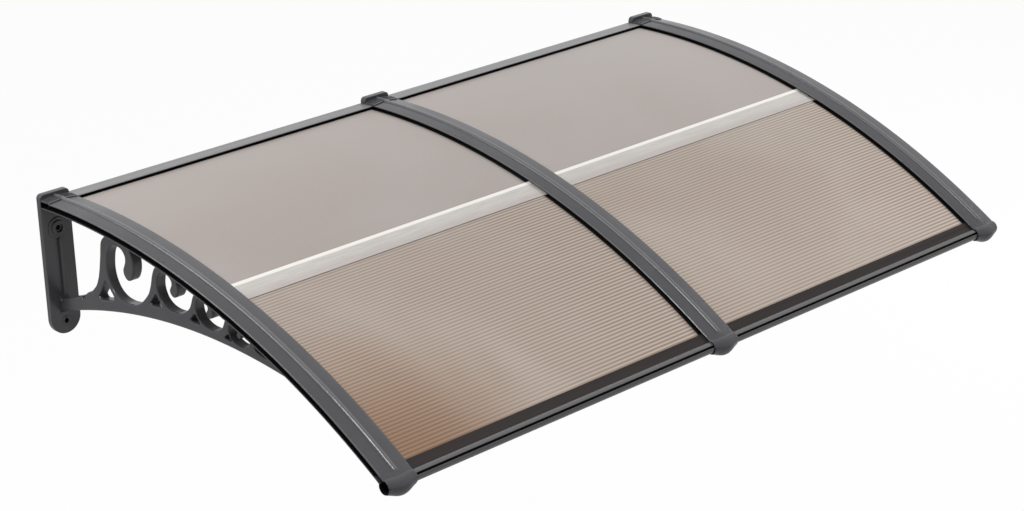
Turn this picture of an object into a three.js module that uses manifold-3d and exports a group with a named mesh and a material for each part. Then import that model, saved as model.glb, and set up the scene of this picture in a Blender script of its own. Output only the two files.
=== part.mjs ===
// Polycarbonate door canopy. Three moulded brackets hang on the wall and carry two bays of
// arched twin-wall sheet between them. In each bay a rear bar, a front bar and a joiner
// across the middle hold two sheets, and all their ends slide into slots in the brackets.
//
// Millimetres, +Z up. X runs along the wall, the wall is the plane y = 0, and the canopy
// reaches out towards -Y. The origin lies on the back of the middle wall plate, halfway
// between its two fixing holes. "u" is the distance out from the wall, "s" the distance
// along the roof's arc, and "h" the height above it, at right angles to the arc.
import * as THREE from "three";
import { mergeVertices } from "three/addons/utils/BufferGeometryUtils.js";
import Module from "manifold-3d";

const wasm = await Module();
wasm.setup();

// The bays and the roof's arc
const BAY_PITCH = 750;
const BRACKETS = [
  ["left", -BAY_PITCH],
  ["middle", 0],
  ["right", BAY_PITCH],
];
const BAYS = [
  ["left", -BAY_PITCH],
  ["right", 0],
];
const ARC_RADIUS = 1577;
const ARC_START_TILT = THREE.MathUtils.degToRad(-3);
const ARC_START_Z = 143.5;
const ARC_LENGTH = 976;
const ARC_STEP = 72;
const ARC_CENTRE_U = -ARC_RADIUS * Math.sin(ARC_START_TILT);
const ARC_CENTRE_Z = ARC_START_Z - ARC_RADIUS * Math.cos(ARC_START_TILT);
const FIT = 0.3;
// How far solids that are joined reach into each other, and cutting tools past what they cut
const OVERLAP = 1;
const WELD = 0.05;

// The bracket's arm: a crowned cap and a lower flange with a slot between them on each side
const ARM_HALF_WIDTH = 30;
const CAP_EDGE_H = 2.4;
const CAP_CROWN_H = 4.9;
const BEAD_HALF_WIDTH = 5;
const BEAD_TOP_H = 7.6;
const BEAD_SHOULDERS = [[3.4, 0.6]];
const BEAD_END_S = 957;
const CAP_CHAMFER = 0.9;
const SLOT_FLOOR_H = -9.6;
const FLANGE_BOTTOM_H = -12;
const CORE_HALF = 2.5;
const RIB_HALF = 2;
const RIB_BOTTOM_H = -26;

// The head of the arm, raised over the ends of the rear bars, with small grip ridges across it
const HEAD_END_S = 40;
const HEAD_RAISE = 1.8;
const HEAD_SLOT_END_S = 37;
const RIDGE_COUNT = 4;
const RIDGE_START_S = 20;
const RIDGE_PITCH = 4.2;
const RIDGE_WIDTH = 1.8;
const RIDGE_RISE = 0.8;

// The wall plate
const PLATE_HALF_WIDTH = 31;
const PLATE_DEPTH = 12;
const PLATE_TOP_Z = 157;
const PLATE_BOTTOM_Z = -114;
const PLATE_CORNER = 8;
const POCKET_DEPTH = 7;
const POCKET_RIM = 5;
const SPINE_HALF = 9;
const FIXING_SPACING = 179;
const FIXING_HOLE_R = 4.5;
// Rings round the fixing holes, each a radius and a rise
const UPPER_RINGS = [
  [20, 2],
  [14, 5],
];
const LOWER_RINGS = [[8.5, 1.2]];
const BOSS_KEEP_R = 14;
const PLATE_RIB_HALF = 2;
const PLATE_RIB_RISE = 5;
const PLATE_RIB_Z = [-47.5, 70.5];

// The scroll web under the arm. Each scroll spans the web from one stem to the next, and
// "member" is the height of the curved lower member beneath it.
const WEB_HALF = 10;
const WEB_END_U = 650;
const WEB_TAIL_U = 770;
const MEMBER_CROWN_U = 480;
const MEMBER_CROWN_Z = 9.5;
const MEMBER_RADIUS = 1384;
const GUSSET = 9;
const GUSSET_SINK = 2;
const FIRST_OPENING = { from: 22, to: 159, member: 22, samples: 18 };
const SCROLLS = [
  { from: 168, to: 305, member: 19.5, samples: 30 },
  { from: 316, to: 417, member: 24, samples: 27 },
  { from: 424, to: 503, member: 16, samples: 23 },
  { from: 513, to: 570, member: 10, samples: 20 },
];
const LAST_OPENING = { from: 580, to: 630, member: 13, samples: 10 };

// One scroll opening, in fractions of its span (across) and of the web's height (up).
// The hook hangs from the arm into the opening, the back is the stem it springs from,
// and the rim sweeps up into the next stem.
const HOOK = [
  [0.5, 1.08],
  [0.57, 0.94],
  [0.61, 0.81],
  [0.617, 0.7],
  [0.6, 0.575],
  [0.555, 0.46],
  [0.497, 0.405],
  [0.435, 0.43],
  [0.392, 0.5],
  [0.387, 0.58],
  [0.415, 0.655],
  [0.44, 0.735],
  [0.435, 0.83],
];
const BACK = [
  [0.36, 0.915],
  [0.22, 0.915],
  [0.125, 0.85],
  [0.062, 0.745],
  [0.03, 0.6],
  [0.024, 0.46],
  [0.055, 0.315],
  [0.135, 0.17],
  [0.26, 0.065],
  [0.4, 0.012],
  [0.5, 0],
];
const RIM = [
  [0.6, 0.003],
  [0.735, 0.075],
  [0.884, 0.265],
  [0.952, 0.46],
  [1.0, 0.7],
  [1.045, 0.87],
  [1.1, 0.96],
  [1.2, 1.08],
];
// The edge of the plain opening beside the plate, with a small notch at the stem's foot
const FOOT = [
  [0.435, 0.033],
  [0.468, -0.005],
  [0.505, 0.03],
  [0.583, 0.082],
  [0.69, 0.112],
  [0.752, 0.15],
  [0.818, 0.21],
  [0.877, 0.325],
  [0.915, 0.457],
  [0.955, 0.65],
  [0.988, 0.847],
  [1.04, 0.93],
  [1.16, 1.08],
];
const EYE = [
  [-0.03, 0.32],
  [-0.135, 0.16],
  [-0.215, 0.06],
  [-0.165, 0.015],
  [0.13, 0.015],
  [0.12, 0.085],
  [0.06, 0.17],
];

// The nose: a barrel along X whose two cups hold the ends of the front bars. The cap ends
// in a straight brow over it, and its belly swells downwards.
const NOSE_U = 919;
const NOSE_Z = -104;
const NOSE_EDGE_R = 13;
const NOSE_SWELL = 4.5;
const NOSE_SWELL_TILT = THREE.MathUtils.degToRad(20);
const NOSE_SIDES = 18;
const NOSE_CUP_R = 10.5;
const NOSE_SLOT_S = [921, 965];
const BROW = [
  [950, -1],
  [950, 2],
  [ARC_LENGTH, 2],
  [981, -5],
  [974, -12],
];

// Twin-wall sheet
const SHEET_TOP_H = -4.2;
const SHEET_THICKNESS = 4;
const SHEET_SKIN = 0.6;
const FLUTE_PITCH = 7.2;
const FLUTE_WALL = 0.7;
const SHEET_END_GAP = 4;
const SHEET_STEP = 58;

// Extruded bars and joiner. Their mouths take the sheet with FIT to spare on each face.
const MOUTH_TOP_H = SHEET_TOP_H + FIT;
const MOUTH_BOTTOM_H = SHEET_TOP_H - SHEET_THICKNESS - FIT;
const LOWER_LIP_H = SLOT_FLOOR_H + FIT;
const JOINER_S = [473, 523];
const JOINER_TOP_H = -2.5;
const JOINER_WEB_S = [497, 499];
const JOINER_SHEET_GAP = 0.5;
const FRONT_BAND_S = 941;
const FRONT_BAND_TOP_H = -1.9;
const FRONT_LIP_S = 945;
const FRONT_MOUTH_END_S = 957;
const FRONT_ROUND_R = 10;
const FRONT_BORE_R = 5.6;
const FRONT_GROOVE_ANGLE = 34;
const FRONT_GROOVE_HALF_ANGLE = 8;
const FRONT_GROOVE_R = 7.9;
const FRONT_GROOVE_TAPER = 2;
const REAR_FRONT_EDGE_S = 35;
const REAR_TOP_H = 1.3;
const REAR_TOP_UNDER_H = -0.1;
const REAR_BACK_U = [0.5, 2.3];
const REAR_LIP_S = 30;
const REAR_SHEET_S = 21.5;
const REAR_NOTCH_REACH = 40;

// Self-tapping screws that hold the bar ends in the brackets
const SCREW_R = 1.75;
const SCREW_HEAD_R = 3.5;
const SCREW_HEAD_H = 2.4;
const SCREW_CROWN = [
  [1.8, 0],
  [3, 0.6],
  [SCREW_HEAD_R, 1.6],
];
const SCREW_POINT = 2;
const SCREW_SIDES = 8;
const SCREW_SEAT_R = 4.3;
const SCREW_SEAT_DEPTH = 6;
const PILOT_LENGTH = 8;
const SCREW_X = 17;
const REAR_SCREW_S = 17;
const REAR_SCREW_LENGTH = 7;
const FRONT_SCREW_SEAT_R = 14;
const FRONT_SCREW_LENGTH = 8;

const charcoal = { color: 0x4d4d52, roughness: 0.42, metalness: 0 };
const barGrey = { color: 0x5a5a5e, roughness: 0.38, metalness: 0.2 };
const bronze = { color: 0xa48f7b, roughness: 0.25, metalness: 0, transparent: true, opacity: 0.7 };
const frosted = { color: 0xd2cec8, roughness: 0.3, metalness: 0, transparent: true, opacity: 0.85 };
const zinc = { color: 0xa9abae, roughness: 0.35, metalness: 0.9 };

// The point on the roof's arc at s, raised by h, as (u, z)
function roofPoint(s, h) {
  const angle = ARC_START_TILT + s / ARC_RADIUS;
  const r = ARC_RADIUS + h;
  return new THREE.Vector2(ARC_CENTRE_U + r * Math.sin(angle), ARC_CENTRE_Z + r * Math.cos(angle));
}

// The height of the arc raised by h, straight above the distance u from the wall
function roofZ(u, h) {
  return ARC_CENTRE_Z + Math.sqrt((ARC_RADIUS + h) ** 2 - (u - ARC_CENTRE_U) ** 2);
}

// The roof's arc as a path that runs from s1 back towards the wall at s0
class RoofArc extends THREE.Curve {
  constructor(s0, s1) {
    super();
    this.s0 = s0;
    this.s1 = s1;
  }
  getPoint(t, target = new THREE.Vector3()) {
    const p = roofPoint(THREE.MathUtils.lerp(this.s1, this.s0, t), 0);
    return target.set(0, -p.x, p.y);
  }
}

// A closed three.js geometry as a solid that can be joined and cut
function solid(geometry) {
  const bare = geometry.index ? geometry.toNonIndexed() : geometry.clone();
  bare.deleteAttribute("normal");
  bare.deleteAttribute("uv");
  const merged = mergeVertices(bare, 1e-4);
  const vertProperties = merged.attributes.position.array;
  const triVerts = new Uint32Array(merged.index.array);
  return new wasm.Manifold(new wasm.Mesh({ numProp: 3, vertProperties, triVerts }));
}

// A solid back as a three.js geometry
function geometryOf(body) {
  const mesh = body.getMesh();
  const geometry = new THREE.BufferGeometry();
  geometry.setAttribute("position", new THREE.BufferAttribute(mesh.vertProperties, 3));
  geometry.setIndex(new THREE.BufferAttribute(mesh.triVerts, 1));
  const flat = geometry.toNonIndexed();
  flat.computeVertexNormals();
  return flat;
}

function union(bodies) {
  return bodies.reduce((sum, body) => sum.add(body));
}

// An outline of (x, h) points swept along the roof's arc from s0 to s1
function arcSweep(outline, s0, s1) {
  const shape = new THREE.Shape(outline.map(([x, h]) => new THREE.Vector2(-x, h)));
  const steps = Math.max(1, Math.ceil((s1 - s0) / ARC_STEP));
  return solid(
    new THREE.ExtrudeGeometry(shape, { steps, bevelEnabled: false, extrudePath: new RoofArc(s0, s1) }),
  );
}

// A shape drawn in (u, z), extruded along the wall from x0 to x1
function slab(shape, x0, x1) {
  const geometry = new THREE.ExtrudeGeometry(shape, { depth: x1 - x0, bevelEnabled: false });
  const basis = new THREE.Matrix4().makeBasis(
    new THREE.Vector3(0, -1, 0),
    new THREE.Vector3(0, 0, 1),
    new THREE.Vector3(-1, 0, 0),
  );
  return solid(geometry.applyMatrix4(basis.setPosition(x1, 0, 0)));
}

// A shape drawn in (x, z), extruded out from the wall from u0 to u1
function relief(shape, u0, u1) {
  const settings = { depth: u1 - u0, bevelEnabled: false, curveSegments: 6 };
  const geometry = new THREE.ExtrudeGeometry(shape, settings);
  return solid(geometry.rotateX(Math.PI / 2).translate(0, -u0, 0));
}

function rectangle(x0, y0, x1, y1) {
  return new THREE.Shape([
    new THREE.Vector2(x0, y0),
    new THREE.Vector2(x1, y0),
    new THREE.Vector2(x1, y1),
    new THREE.Vector2(x0, y1),
  ]);
}

// A cylinder from a point along a direction
function rod(radius, length, from, direction, sides = 16) {
  const geometry = new THREE.CylinderGeometry(radius, radius, length, sides);
  geometry.translate(0, length / 2, 0);
  const turn = new THREE.Quaternion().setFromUnitVectors(new THREE.Vector3(0, 1, 0), direction);
  return solid(geometry.applyQuaternion(turn).translate(from.x, from.y, from.z));
}

const mirrored = (points) => points.map(([x, h]) => [-x, h]).reverse();

// The arm. Its section is raised in the head, and loses the bead past the bead's end.
function armSection({ raise = 0, bead = true } = {}) {
  const crown = bead
    ? [
        [0, BEAD_TOP_H + raise],
        ...BEAD_SHOULDERS.map(([x, drop]) => [x, BEAD_TOP_H - drop + raise]),
        [BEAD_HALF_WIDTH, CAP_CROWN_H + raise],
      ]
    : [[0, CAP_CROWN_H + FIT]];
  const half = [
    ...crown,
    [ARM_HALF_WIDTH - 1, CAP_EDGE_H + raise],
    [ARM_HALF_WIDTH, CAP_EDGE_H - CAP_CHAMFER + raise],
    [ARM_HALF_WIDTH, 0],
    [CORE_HALF, 0],
    [CORE_HALF, SLOT_FLOOR_H],
    [ARM_HALF_WIDTH, SLOT_FLOOR_H],
    [ARM_HALF_WIDTH, FLANGE_BOTTOM_H],
  ];
  return [...mirrored(half.slice(1)), ...half];
}

// The small ridges across the head, on both sides of the bead
function headRidges() {
  const foot = HEAD_RAISE - OVERLAP;
  const top = HEAD_RAISE + RIDGE_RISE;
  const right = [
    [BEAD_HALF_WIDTH - OVERLAP, CAP_CROWN_H + foot],
    [ARM_HALF_WIDTH - 1, CAP_EDGE_H + foot],
    [ARM_HALF_WIDTH - 1, CAP_EDGE_H + top],
    [BEAD_HALF_WIDTH - OVERLAP, CAP_CROWN_H + top],
  ];
  const ridges = [];
  for (let i = 0; i < RIDGE_COUNT; i++) {
    const s = RIDGE_START_S + i * RIDGE_PITCH;
    ridges.push(arcSweep(right, s, s + RIDGE_WIDTH), arcSweep(mirrored(right), s, s + RIDGE_WIDTH));
  }
  return ridges;
}

function arm() {
  return union([
    arcSweep(armSection(), HEAD_END_S - OVERLAP, BEAD_END_S),
    arcSweep(armSection({ bead: false }), BEAD_END_S - OVERLAP, ARC_LENGTH),
    arcSweep(armSection({ raise: HEAD_RAISE }), PLATE_DEPTH / 2, HEAD_END_S),
    ...headRidges(),
  ]);
}

// What both sides of the arm are cut by: the higher slot of the head, the slot's mouth in
// the nose and the nose's cups
function armCuts() {
  const nose = new THREE.Vector3(0, -NOSE_U, NOSE_Z);
  return [-1, 1].flatMap((side) => {
    const inner = side * CORE_HALF;
    const outer = side * (ARM_HALF_WIDTH + OVERLAP);
    const slot = (top) => [
      [Math.min(inner, outer), SLOT_FLOOR_H],
      [Math.max(inner, outer), SLOT_FLOOR_H],
      [Math.max(inner, outer), top],
      [Math.min(inner, outer), top],
    ];
    const along = new THREE.Vector3(side, 0, 0);
    const cupFloor = nose.clone().addScaledVector(along, CORE_HALF);
    return [
      arcSweep(slot(REAR_TOP_H + FIT), PLATE_DEPTH + FIT, HEAD_SLOT_END_S),
      arcSweep(slot(0), ...NOSE_SLOT_S),
      rod(NOSE_CUP_R, ARM_HALF_WIDTH, cupFloor, along, NOSE_SIDES),
    ];
  });
}

// The nose: rings along X that grow and sink towards the middle, closed at both ends
function nose() {
  const rings = 4;
  const positions = [];
  const ring = (i) => {
    const x = THREE.MathUtils.lerp(-1, 1, i / rings);
    const swell = NOSE_SWELL * Math.max(Math.cos((x * Math.PI) / 2), 0) ** 1.5;
    const u = NOSE_U + swell * Math.sin(NOSE_SWELL_TILT);
    const z = NOSE_Z - swell * Math.cos(NOSE_SWELL_TILT);
    return Array.from({ length: NOSE_SIDES }, (_, k) => {
      const angle = (2 * Math.PI * k) / NOSE_SIDES;
      const r = NOSE_EDGE_R + swell;
      return [x * ARM_HALF_WIDTH, -u - r * Math.cos(angle), z - r * Math.sin(angle)];
    });
  };
  const triangle = (...corners) => corners.forEach((corner) => positions.push(...corner));
  for (let k = 0; k < NOSE_SIDES; k++) {
    const next = (k + 1) % NOSE_SIDES;
    for (let i = 0; i < rings; i++) {
      const [near, far] = [ring(i), ring(i + 1)];
      triangle(near[k], near[next], far[next]);
      triangle(near[k], far[next], far[k]);
    }
    triangle([-ARM_HALF_WIDTH, -NOSE_U, NOSE_Z], ring(0)[next], ring(0)[k]);
    triangle([ARM_HALF_WIDTH, -NOSE_U, NOSE_Z], ring(rings)[k], ring(rings)[next]);
  }
  const geometry = new THREE.BufferGeometry();
  geometry.setAttribute("position", new THREE.Float32BufferAttribute(positions, 3));
  const brow = new THREE.Shape(BROW.map(([s, h]) => roofPoint(s, h)));
  return solid(geometry).add(slab(brow, -ARM_HALF_WIDTH, ARM_HALF_WIDTH));
}

// The wall plate
function plateOutline(inset) {
  const half = PLATE_HALF_WIDTH - inset;
  const top = PLATE_TOP_Z - inset;
  const corner = Math.max(PLATE_CORNER - inset, 1);
  const shape = new THREE.Shape();
  shape.absarc(0, PLATE_BOTTOM_Z + PLATE_HALF_WIDTH, half, Math.PI, 2 * Math.PI, false);
  shape.lineTo(half, top - corner);
  shape.absarc(half - corner, top - corner, corner, 0, Math.PI / 2, false);
  shape.lineTo(corner - half, top);
  shape.absarc(corner - half, top - corner, corner, Math.PI / 2, Math.PI, false);
  return shape;
}

function disc(radius, z) {
  const shape = new THREE.Shape();
  shape.absarc(0, z, radius, 0, 2 * Math.PI, false);
  return shape;
}

// The pockets that core out the back of the plate on both sides of its spine
function platePockets() {
  const spineShape = rectangle(-SPINE_HALF, PLATE_BOTTOM_Z, SPINE_HALF, PLATE_TOP_Z);
  const spine = relief(spineShape, -OVERLAP, POCKET_DEPTH + OVERLAP);
  const bosses = [-1, 1].map((end) =>
    relief(disc(BOSS_KEEP_R, (end * FIXING_SPACING) / 2), -OVERLAP, POCKET_DEPTH + OVERLAP),
  );
  const inside = relief(plateOutline(POCKET_RIM), -OVERLAP, POCKET_DEPTH);
  return [spine, ...bosses].reduce((rest, keep) => rest.subtract(keep), inside);
}

function fixingHoles() {
  const through = PLATE_DEPTH + UPPER_RINGS[1][1] + OVERLAP;
  return [-1, 1].map((end) => relief(disc(FIXING_HOLE_R, (end * FIXING_SPACING) / 2), -OVERLAP, through));
}

function wallPlate() {
  const ring = (z, [r, rise]) => relief(disc(r, z), PLATE_DEPTH / 2, PLATE_DEPTH + rise);
  const rings = [
    ...UPPER_RINGS.map((size) => ring(FIXING_SPACING / 2, size)),
    ...LOWER_RINGS.map((size) => ring(-FIXING_SPACING / 2, size)),
  ];
  const rib = rectangle(-PLATE_RIB_HALF, PLATE_RIB_Z[0], PLATE_RIB_HALF, PLATE_RIB_Z[1]);
  const body = union([
    relief(plateOutline(0), 0, PLATE_DEPTH),
    ...rings,
    relief(rib, PLATE_DEPTH / 2, PLATE_DEPTH + PLATE_RIB_RISE),
  ]);
  return body.subtract(platePockets());
}

// The scroll web
function memberBottom(u) {
  return MEMBER_CROWN_Z - (u - MEMBER_CROWN_U) ** 2 / (2 * MEMBER_RADIUS);
}

// A point of the web at fractions across a scroll's span and up the web's height
function webPoint(scroll, [across, up]) {
  const u = THREE.MathUtils.lerp(scroll.from, scroll.to, across);
  const low = memberBottom(u) + scroll.member;
  return new THREE.Vector2(u, THREE.MathUtils.lerp(low, roofZ(u, RIB_BOTTOM_H), up));
}

// A smooth outline through fractions, closed with a straight line
function webOutline(scroll, fractions) {
  const control = fractions.map((f) => webPoint(scroll, f));
  return new THREE.Shape(new THREE.SplineCurve(control).getPoints(scroll.samples));
}

function webSheet() {
  const bottom = [];
  const top = [];
  const steps = 14;
  for (let i = 0; i <= steps; i++) {
    const u = THREE.MathUtils.lerp(PLATE_DEPTH / 2, WEB_TAIL_U, i / steps);
    const h = u < WEB_END_U ? RIB_BOTTOM_H : FLANGE_BOTTOM_H + OVERLAP;
    bottom.push(new THREE.Vector2(u, Math.min(memberBottom(u), roofZ(u, FLANGE_BOTTOM_H))));
    top.unshift(new THREE.Vector2(u, roofZ(u, h)));
  }
  return slab(new THREE.Shape([...bottom, ...top]), -WEB_HALF, WEB_HALF);
}

// The openings of the web: the plain one beside the plate, the scrolls, the last slit and
// the small eyes between the stems
function webOpenings() {
  const { from, to } = FIRST_OPENING;
  const nearPlate = (PLATE_DEPTH - from) / (to - from);
  const edge = webOutline(FIRST_OPENING, FOOT).getPoints();
  const ends = [
    [nearPlate, 1.08],
    [nearPlate, 0],
  ].map((f) => webPoint(FIRST_OPENING, f));
  const openings = [
    new THREE.Shape([...edge, ...ends]),
    ...SCROLLS.map((scroll) => webOutline(scroll, [...HOOK, ...BACK, ...RIM])),
    webOutline(LAST_OPENING, [[0.3, 1.08], ...BACK.slice(4), ...RIM]),
    ...SCROLLS.map((scroll) => new THREE.Shape(EYE.map((f) => webPoint(scroll, f)))),
  ];
  return openings.map((shape) => slab(shape, -WEB_HALF - OVERLAP, WEB_HALF + OVERLAP));
}

// The thin rib in the arm's middle plane, which the scrolls hang from
function webRib() {
  const section = [
    [-RIB_HALF, RIB_BOTTOM_H - OVERLAP],
    [RIB_HALF, RIB_BOTTOM_H - OVERLAP],
    [RIB_HALF, FLANGE_BOTTOM_H + OVERLAP],
    [-RIB_HALF, FLANGE_BOTTOM_H + OVERLAP],
  ];
  return arcSweep(section, PLATE_DEPTH / 2, WEB_END_U);
}

// The fillets where the lower member springs from the plate
function rootGussets() {
  const low = memberBottom(PLATE_DEPTH);
  const high = low + FIRST_OPENING.member;
  return [
    [low, -1],
    [high, 1],
  ].map(([z, way]) => {
    const shape = new THREE.Shape();
    shape.moveTo(PLATE_DEPTH - OVERLAP, z - way * GUSSET_SINK);
    shape.lineTo(PLATE_DEPTH - OVERLAP, z + way * GUSSET);
    shape.lineTo(PLATE_DEPTH, z + way * GUSSET);
    shape.quadraticCurveTo(PLATE_DEPTH, z, PLATE_DEPTH + GUSSET, z - way * GUSSET_SINK);
    const geometry = new THREE.Shape(way > 0 ? shape.getPoints(4).reverse() : shape.getPoints(4));
    return slab(geometry, -WEB_HALF, WEB_HALF);
  });
}

function scrollWeb() {
  const cut = webOpenings().reduce((rest, opening) => rest.subtract(opening), webSheet());
  return union([cut, webRib(), ...rootGussets()]);
}

// The screws, each along a direction that points from its head into the bracket
const UP = new THREE.Vector3(0, 0, 1);

function screwSeats(x) {
  const rear = roofPoint(REAR_SCREW_S, FLANGE_BOTTOM_H);
  return {
    rear: new THREE.Vector3(x, -rear.x, rear.y),
    front: new THREE.Vector3(x, -NOSE_U, NOSE_Z - FRONT_SCREW_SEAT_R),
  };
}

function pilot(seat) {
  return rod(SCREW_R + FIT, PILOT_LENGTH, seat.clone().addScaledVector(UP, -2 * OVERLAP), UP, 12);
}

// The holes in a bracket for its four screws, with a flat seat for each front head
function screwHoles() {
  return [-SCREW_X, SCREW_X].flatMap((x) => {
    const { rear, front } = screwSeats(x);
    const below = front.clone().addScaledVector(UP, -SCREW_SEAT_DEPTH);
    return [pilot(rear), pilot(front), rod(SCREW_SEAT_R, SCREW_SEAT_DEPTH, below, UP, 14)];
  });
}

function screw(seat, length) {
  const profile = [
    [0, 0],
    ...SCREW_CROWN,
    [SCREW_HEAD_R, SCREW_HEAD_H],
    [SCREW_R, SCREW_HEAD_H],
    [SCREW_R, SCREW_HEAD_H + length - SCREW_POINT],
    [0, SCREW_HEAD_H + length],
  ].map(([r, y]) => new THREE.Vector2(r, y - SCREW_HEAD_H));
  const geometry = new THREE.LatheGeometry(profile, SCREW_SIDES).rotateX(Math.PI / 2);
  return geometry.translate(seat.x, seat.y, seat.z - FIT);
}

function bracket() {
  const body = union([arm(), nose(), wallPlate(), scrollWeb()]);
  const cuts = [...armCuts(), ...screwHoles(), ...fixingHoles()];
  return geometryOf(cuts.reduce((rest, cut) => rest.subtract(cut), body).simplify(WELD));
}

// Twin-wall sheet from s0 to s1: two skins joined by walls, with open flutes along X
function sheet(s0, s1, width) {
  const bottom = SHEET_TOP_H - SHEET_THICKNESS;
  const steps = Math.ceil((s1 - s0) / SHEET_STEP);
  const along = (i) => THREE.MathUtils.lerp(s0, s1, i / steps);
  const outline = [];
  for (let i = 0; i <= steps; i++) outline.push(roofPoint(along(i), bottom));
  for (let i = steps; i >= 0; i--) outline.push(roofPoint(along(i), SHEET_TOP_H));
  const shape = new THREE.Shape(outline);
  const flutes = Math.floor((s1 - s0 - FLUTE_WALL) / FLUTE_PITCH);
  const margin = (s1 - s0 - flutes * FLUTE_PITCH + FLUTE_WALL) / 2;
  for (let i = 0; i < flutes; i++) {
    const near = s0 + margin + i * FLUTE_PITCH;
    const far = near + FLUTE_PITCH - FLUTE_WALL;
    const corners = [
      roofPoint(near, bottom + SHEET_SKIN),
      roofPoint(near, SHEET_TOP_H - SHEET_SKIN),
      roofPoint(far, SHEET_TOP_H - SHEET_SKIN),
      roofPoint(far, bottom + SHEET_SKIN),
    ];
    shape.holes.push(new THREE.Path(corners));
  }
  return geometryOf(slab(shape, -width / 2, width / 2));
}

// The H-shaped joiner between the front and rear sheets
function joiner(width) {
  const [s0, s1] = JOINER_S;
  const [w0, w1] = JOINER_WEB_S;
  const outline = [
    [s0, LOWER_LIP_H],
    [s1, LOWER_LIP_H],
    [s1, MOUTH_BOTTOM_H],
    [w1, MOUTH_BOTTOM_H],
    [w1, MOUTH_TOP_H],
    [s1, MOUTH_TOP_H],
    [s1, JOINER_TOP_H],
    [s0, JOINER_TOP_H],
    [s0, MOUTH_TOP_H],
    [w0, MOUTH_TOP_H],
    [w0, MOUTH_BOTTOM_H],
    [s0, MOUTH_BOTTOM_H],
  ];
  return geometryOf(slab(new THREE.Shape(outline.map(([s, h]) => roofPoint(s, h))), -width / 2, width / 2));
}

// A point of the front bar's round, at an angle above straight out from the wall
function roundPoint(radius, degrees) {
  const angle = THREE.MathUtils.degToRad(degrees);
  return new THREE.Vector2(NOSE_U + radius * Math.cos(angle), NOSE_Z + radius * Math.sin(angle));
}

// The angle at which the front bar's round meets the height h above the roof's arc, on the
// side of the wall
function roundAngle(h) {
  const centre = new THREE.Vector2(ARC_CENTRE_U, ARC_CENTRE_Z);
  let degrees = 90;
  while (roundPoint(FRONT_ROUND_R, degrees).distanceTo(centre) > ARC_RADIUS + h) degrees += 1;
  return degrees;
}

function frontBar(width) {
  const start = roundAngle(FRONT_BAND_TOP_H);
  const end = roundAngle(LOWER_LIP_H);
  const outline = [roofPoint(FRONT_BAND_S, MOUTH_TOP_H), roofPoint(FRONT_BAND_S, FRONT_BAND_TOP_H)];
  const grooveHigh = FRONT_GROOVE_ANGLE + FRONT_GROOVE_HALF_ANGLE;
  const grooveLow = FRONT_GROOVE_ANGLE - FRONT_GROOVE_HALF_ANGLE;
  const arc = (from, to, count) => {
    for (let i = 0; i <= count; i++) {
      outline.push(roundPoint(FRONT_ROUND_R, THREE.MathUtils.lerp(from, to, i / count)));
    }
  };
  arc(start, grooveHigh, 5);
  outline.push(roundPoint(FRONT_GROOVE_R, grooveHigh - FRONT_GROOVE_TAPER));
  outline.push(roundPoint(FRONT_GROOVE_R, grooveLow + FRONT_GROOVE_TAPER));
  arc(grooveLow, end - 360, 12);
  outline.push(
    roofPoint(FRONT_LIP_S, LOWER_LIP_H),
    roofPoint(FRONT_LIP_S, MOUTH_BOTTOM_H),
    roofPoint(FRONT_MOUTH_END_S, MOUTH_BOTTOM_H),
    roofPoint(FRONT_MOUTH_END_S, MOUTH_TOP_H),
  );
  const shape = new THREE.Shape(outline.reverse());
  const bore = new THREE.Path();
  bore.absarc(NOSE_U, NOSE_Z, FRONT_BORE_R, 0, 2 * Math.PI, true);
  shape.holes.push(new THREE.Path(bore.getPoints(6)));
  const body = slab(shape, -width / 2, width / 2);
  return geometryOf(cutForScrews(body, width, NOSE_U, NOSE_Z - FRONT_ROUND_R - 2 * OVERLAP));
}

// The pilot holes near both ends of a bar, going up from (u, z)
function cutForScrews(body, width, u, z) {
  const reach = width / 2 + SHEET_END_GAP - SCREW_X;
  return [-reach, reach].reduce((rest, x) => {
    return rest.subtract(rod(SCREW_R + FIT, PILOT_LENGTH, new THREE.Vector3(x, -u, z), UP, 12));
  }, body);
}

// The rear bar: a hood along the wall whose mouth takes the sheet's rear edge. Its back is
// notched at both ends to pass in front of the wall plates.
function rearBar(width) {
  const [back, inside] = REAR_BACK_U;
  const lip = roofPoint(REAR_LIP_S, LOWER_LIP_H);
  const outline = [
    new THREE.Vector2(back, roofZ(back, LOWER_LIP_H)),
    lip,
    roofPoint(REAR_LIP_S, MOUTH_BOTTOM_H),
    new THREE.Vector2(inside, roofZ(inside, MOUTH_BOTTOM_H)),
    new THREE.Vector2(inside, roofZ(inside, REAR_TOP_UNDER_H)),
    roofPoint(REAR_FRONT_EDGE_S, REAR_TOP_UNDER_H),
    roofPoint(REAR_FRONT_EDGE_S, REAR_TOP_H),
    new THREE.Vector2(back, roofZ(back, REAR_TOP_H)),
  ];
  const body = slab(new THREE.Shape(outline), -width / 2, width / 2);
  const notch = PLATE_HALF_WIDTH - SHEET_END_GAP + FIT;
  const [low, high] = [ARC_START_Z - REAR_NOTCH_REACH, ARC_START_Z + REAR_NOTCH_REACH];
  const block = rectangle(-OVERLAP, low, PLATE_DEPTH + 2 * FIT, high);
  const notches = [-1, 1].map((side) => {
    const outer = side * (width / 2 + OVERLAP);
    const inner = side * (width / 2 - notch);
    return slab(block, Math.min(outer, inner), Math.max(outer, inner));
  });
  const cut = notches.reduce((rest, piece) => rest.subtract(piece), body);
  const screwAt = roofPoint(REAR_SCREW_S, LOWER_LIP_H);
  return geometryOf(cutForScrews(cut, width, screwAt.x, screwAt.y - PILOT_LENGTH / 2));
}

// The assembly
const group = new THREE.Group();

function addPiece(name, geometry, finish, x) {
  const mesh = new THREE.Mesh(geometry, new THREE.MeshStandardMaterial(finish));
  mesh.name = name;
  mesh.position.x = x;
  group.add(mesh);
}

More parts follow.
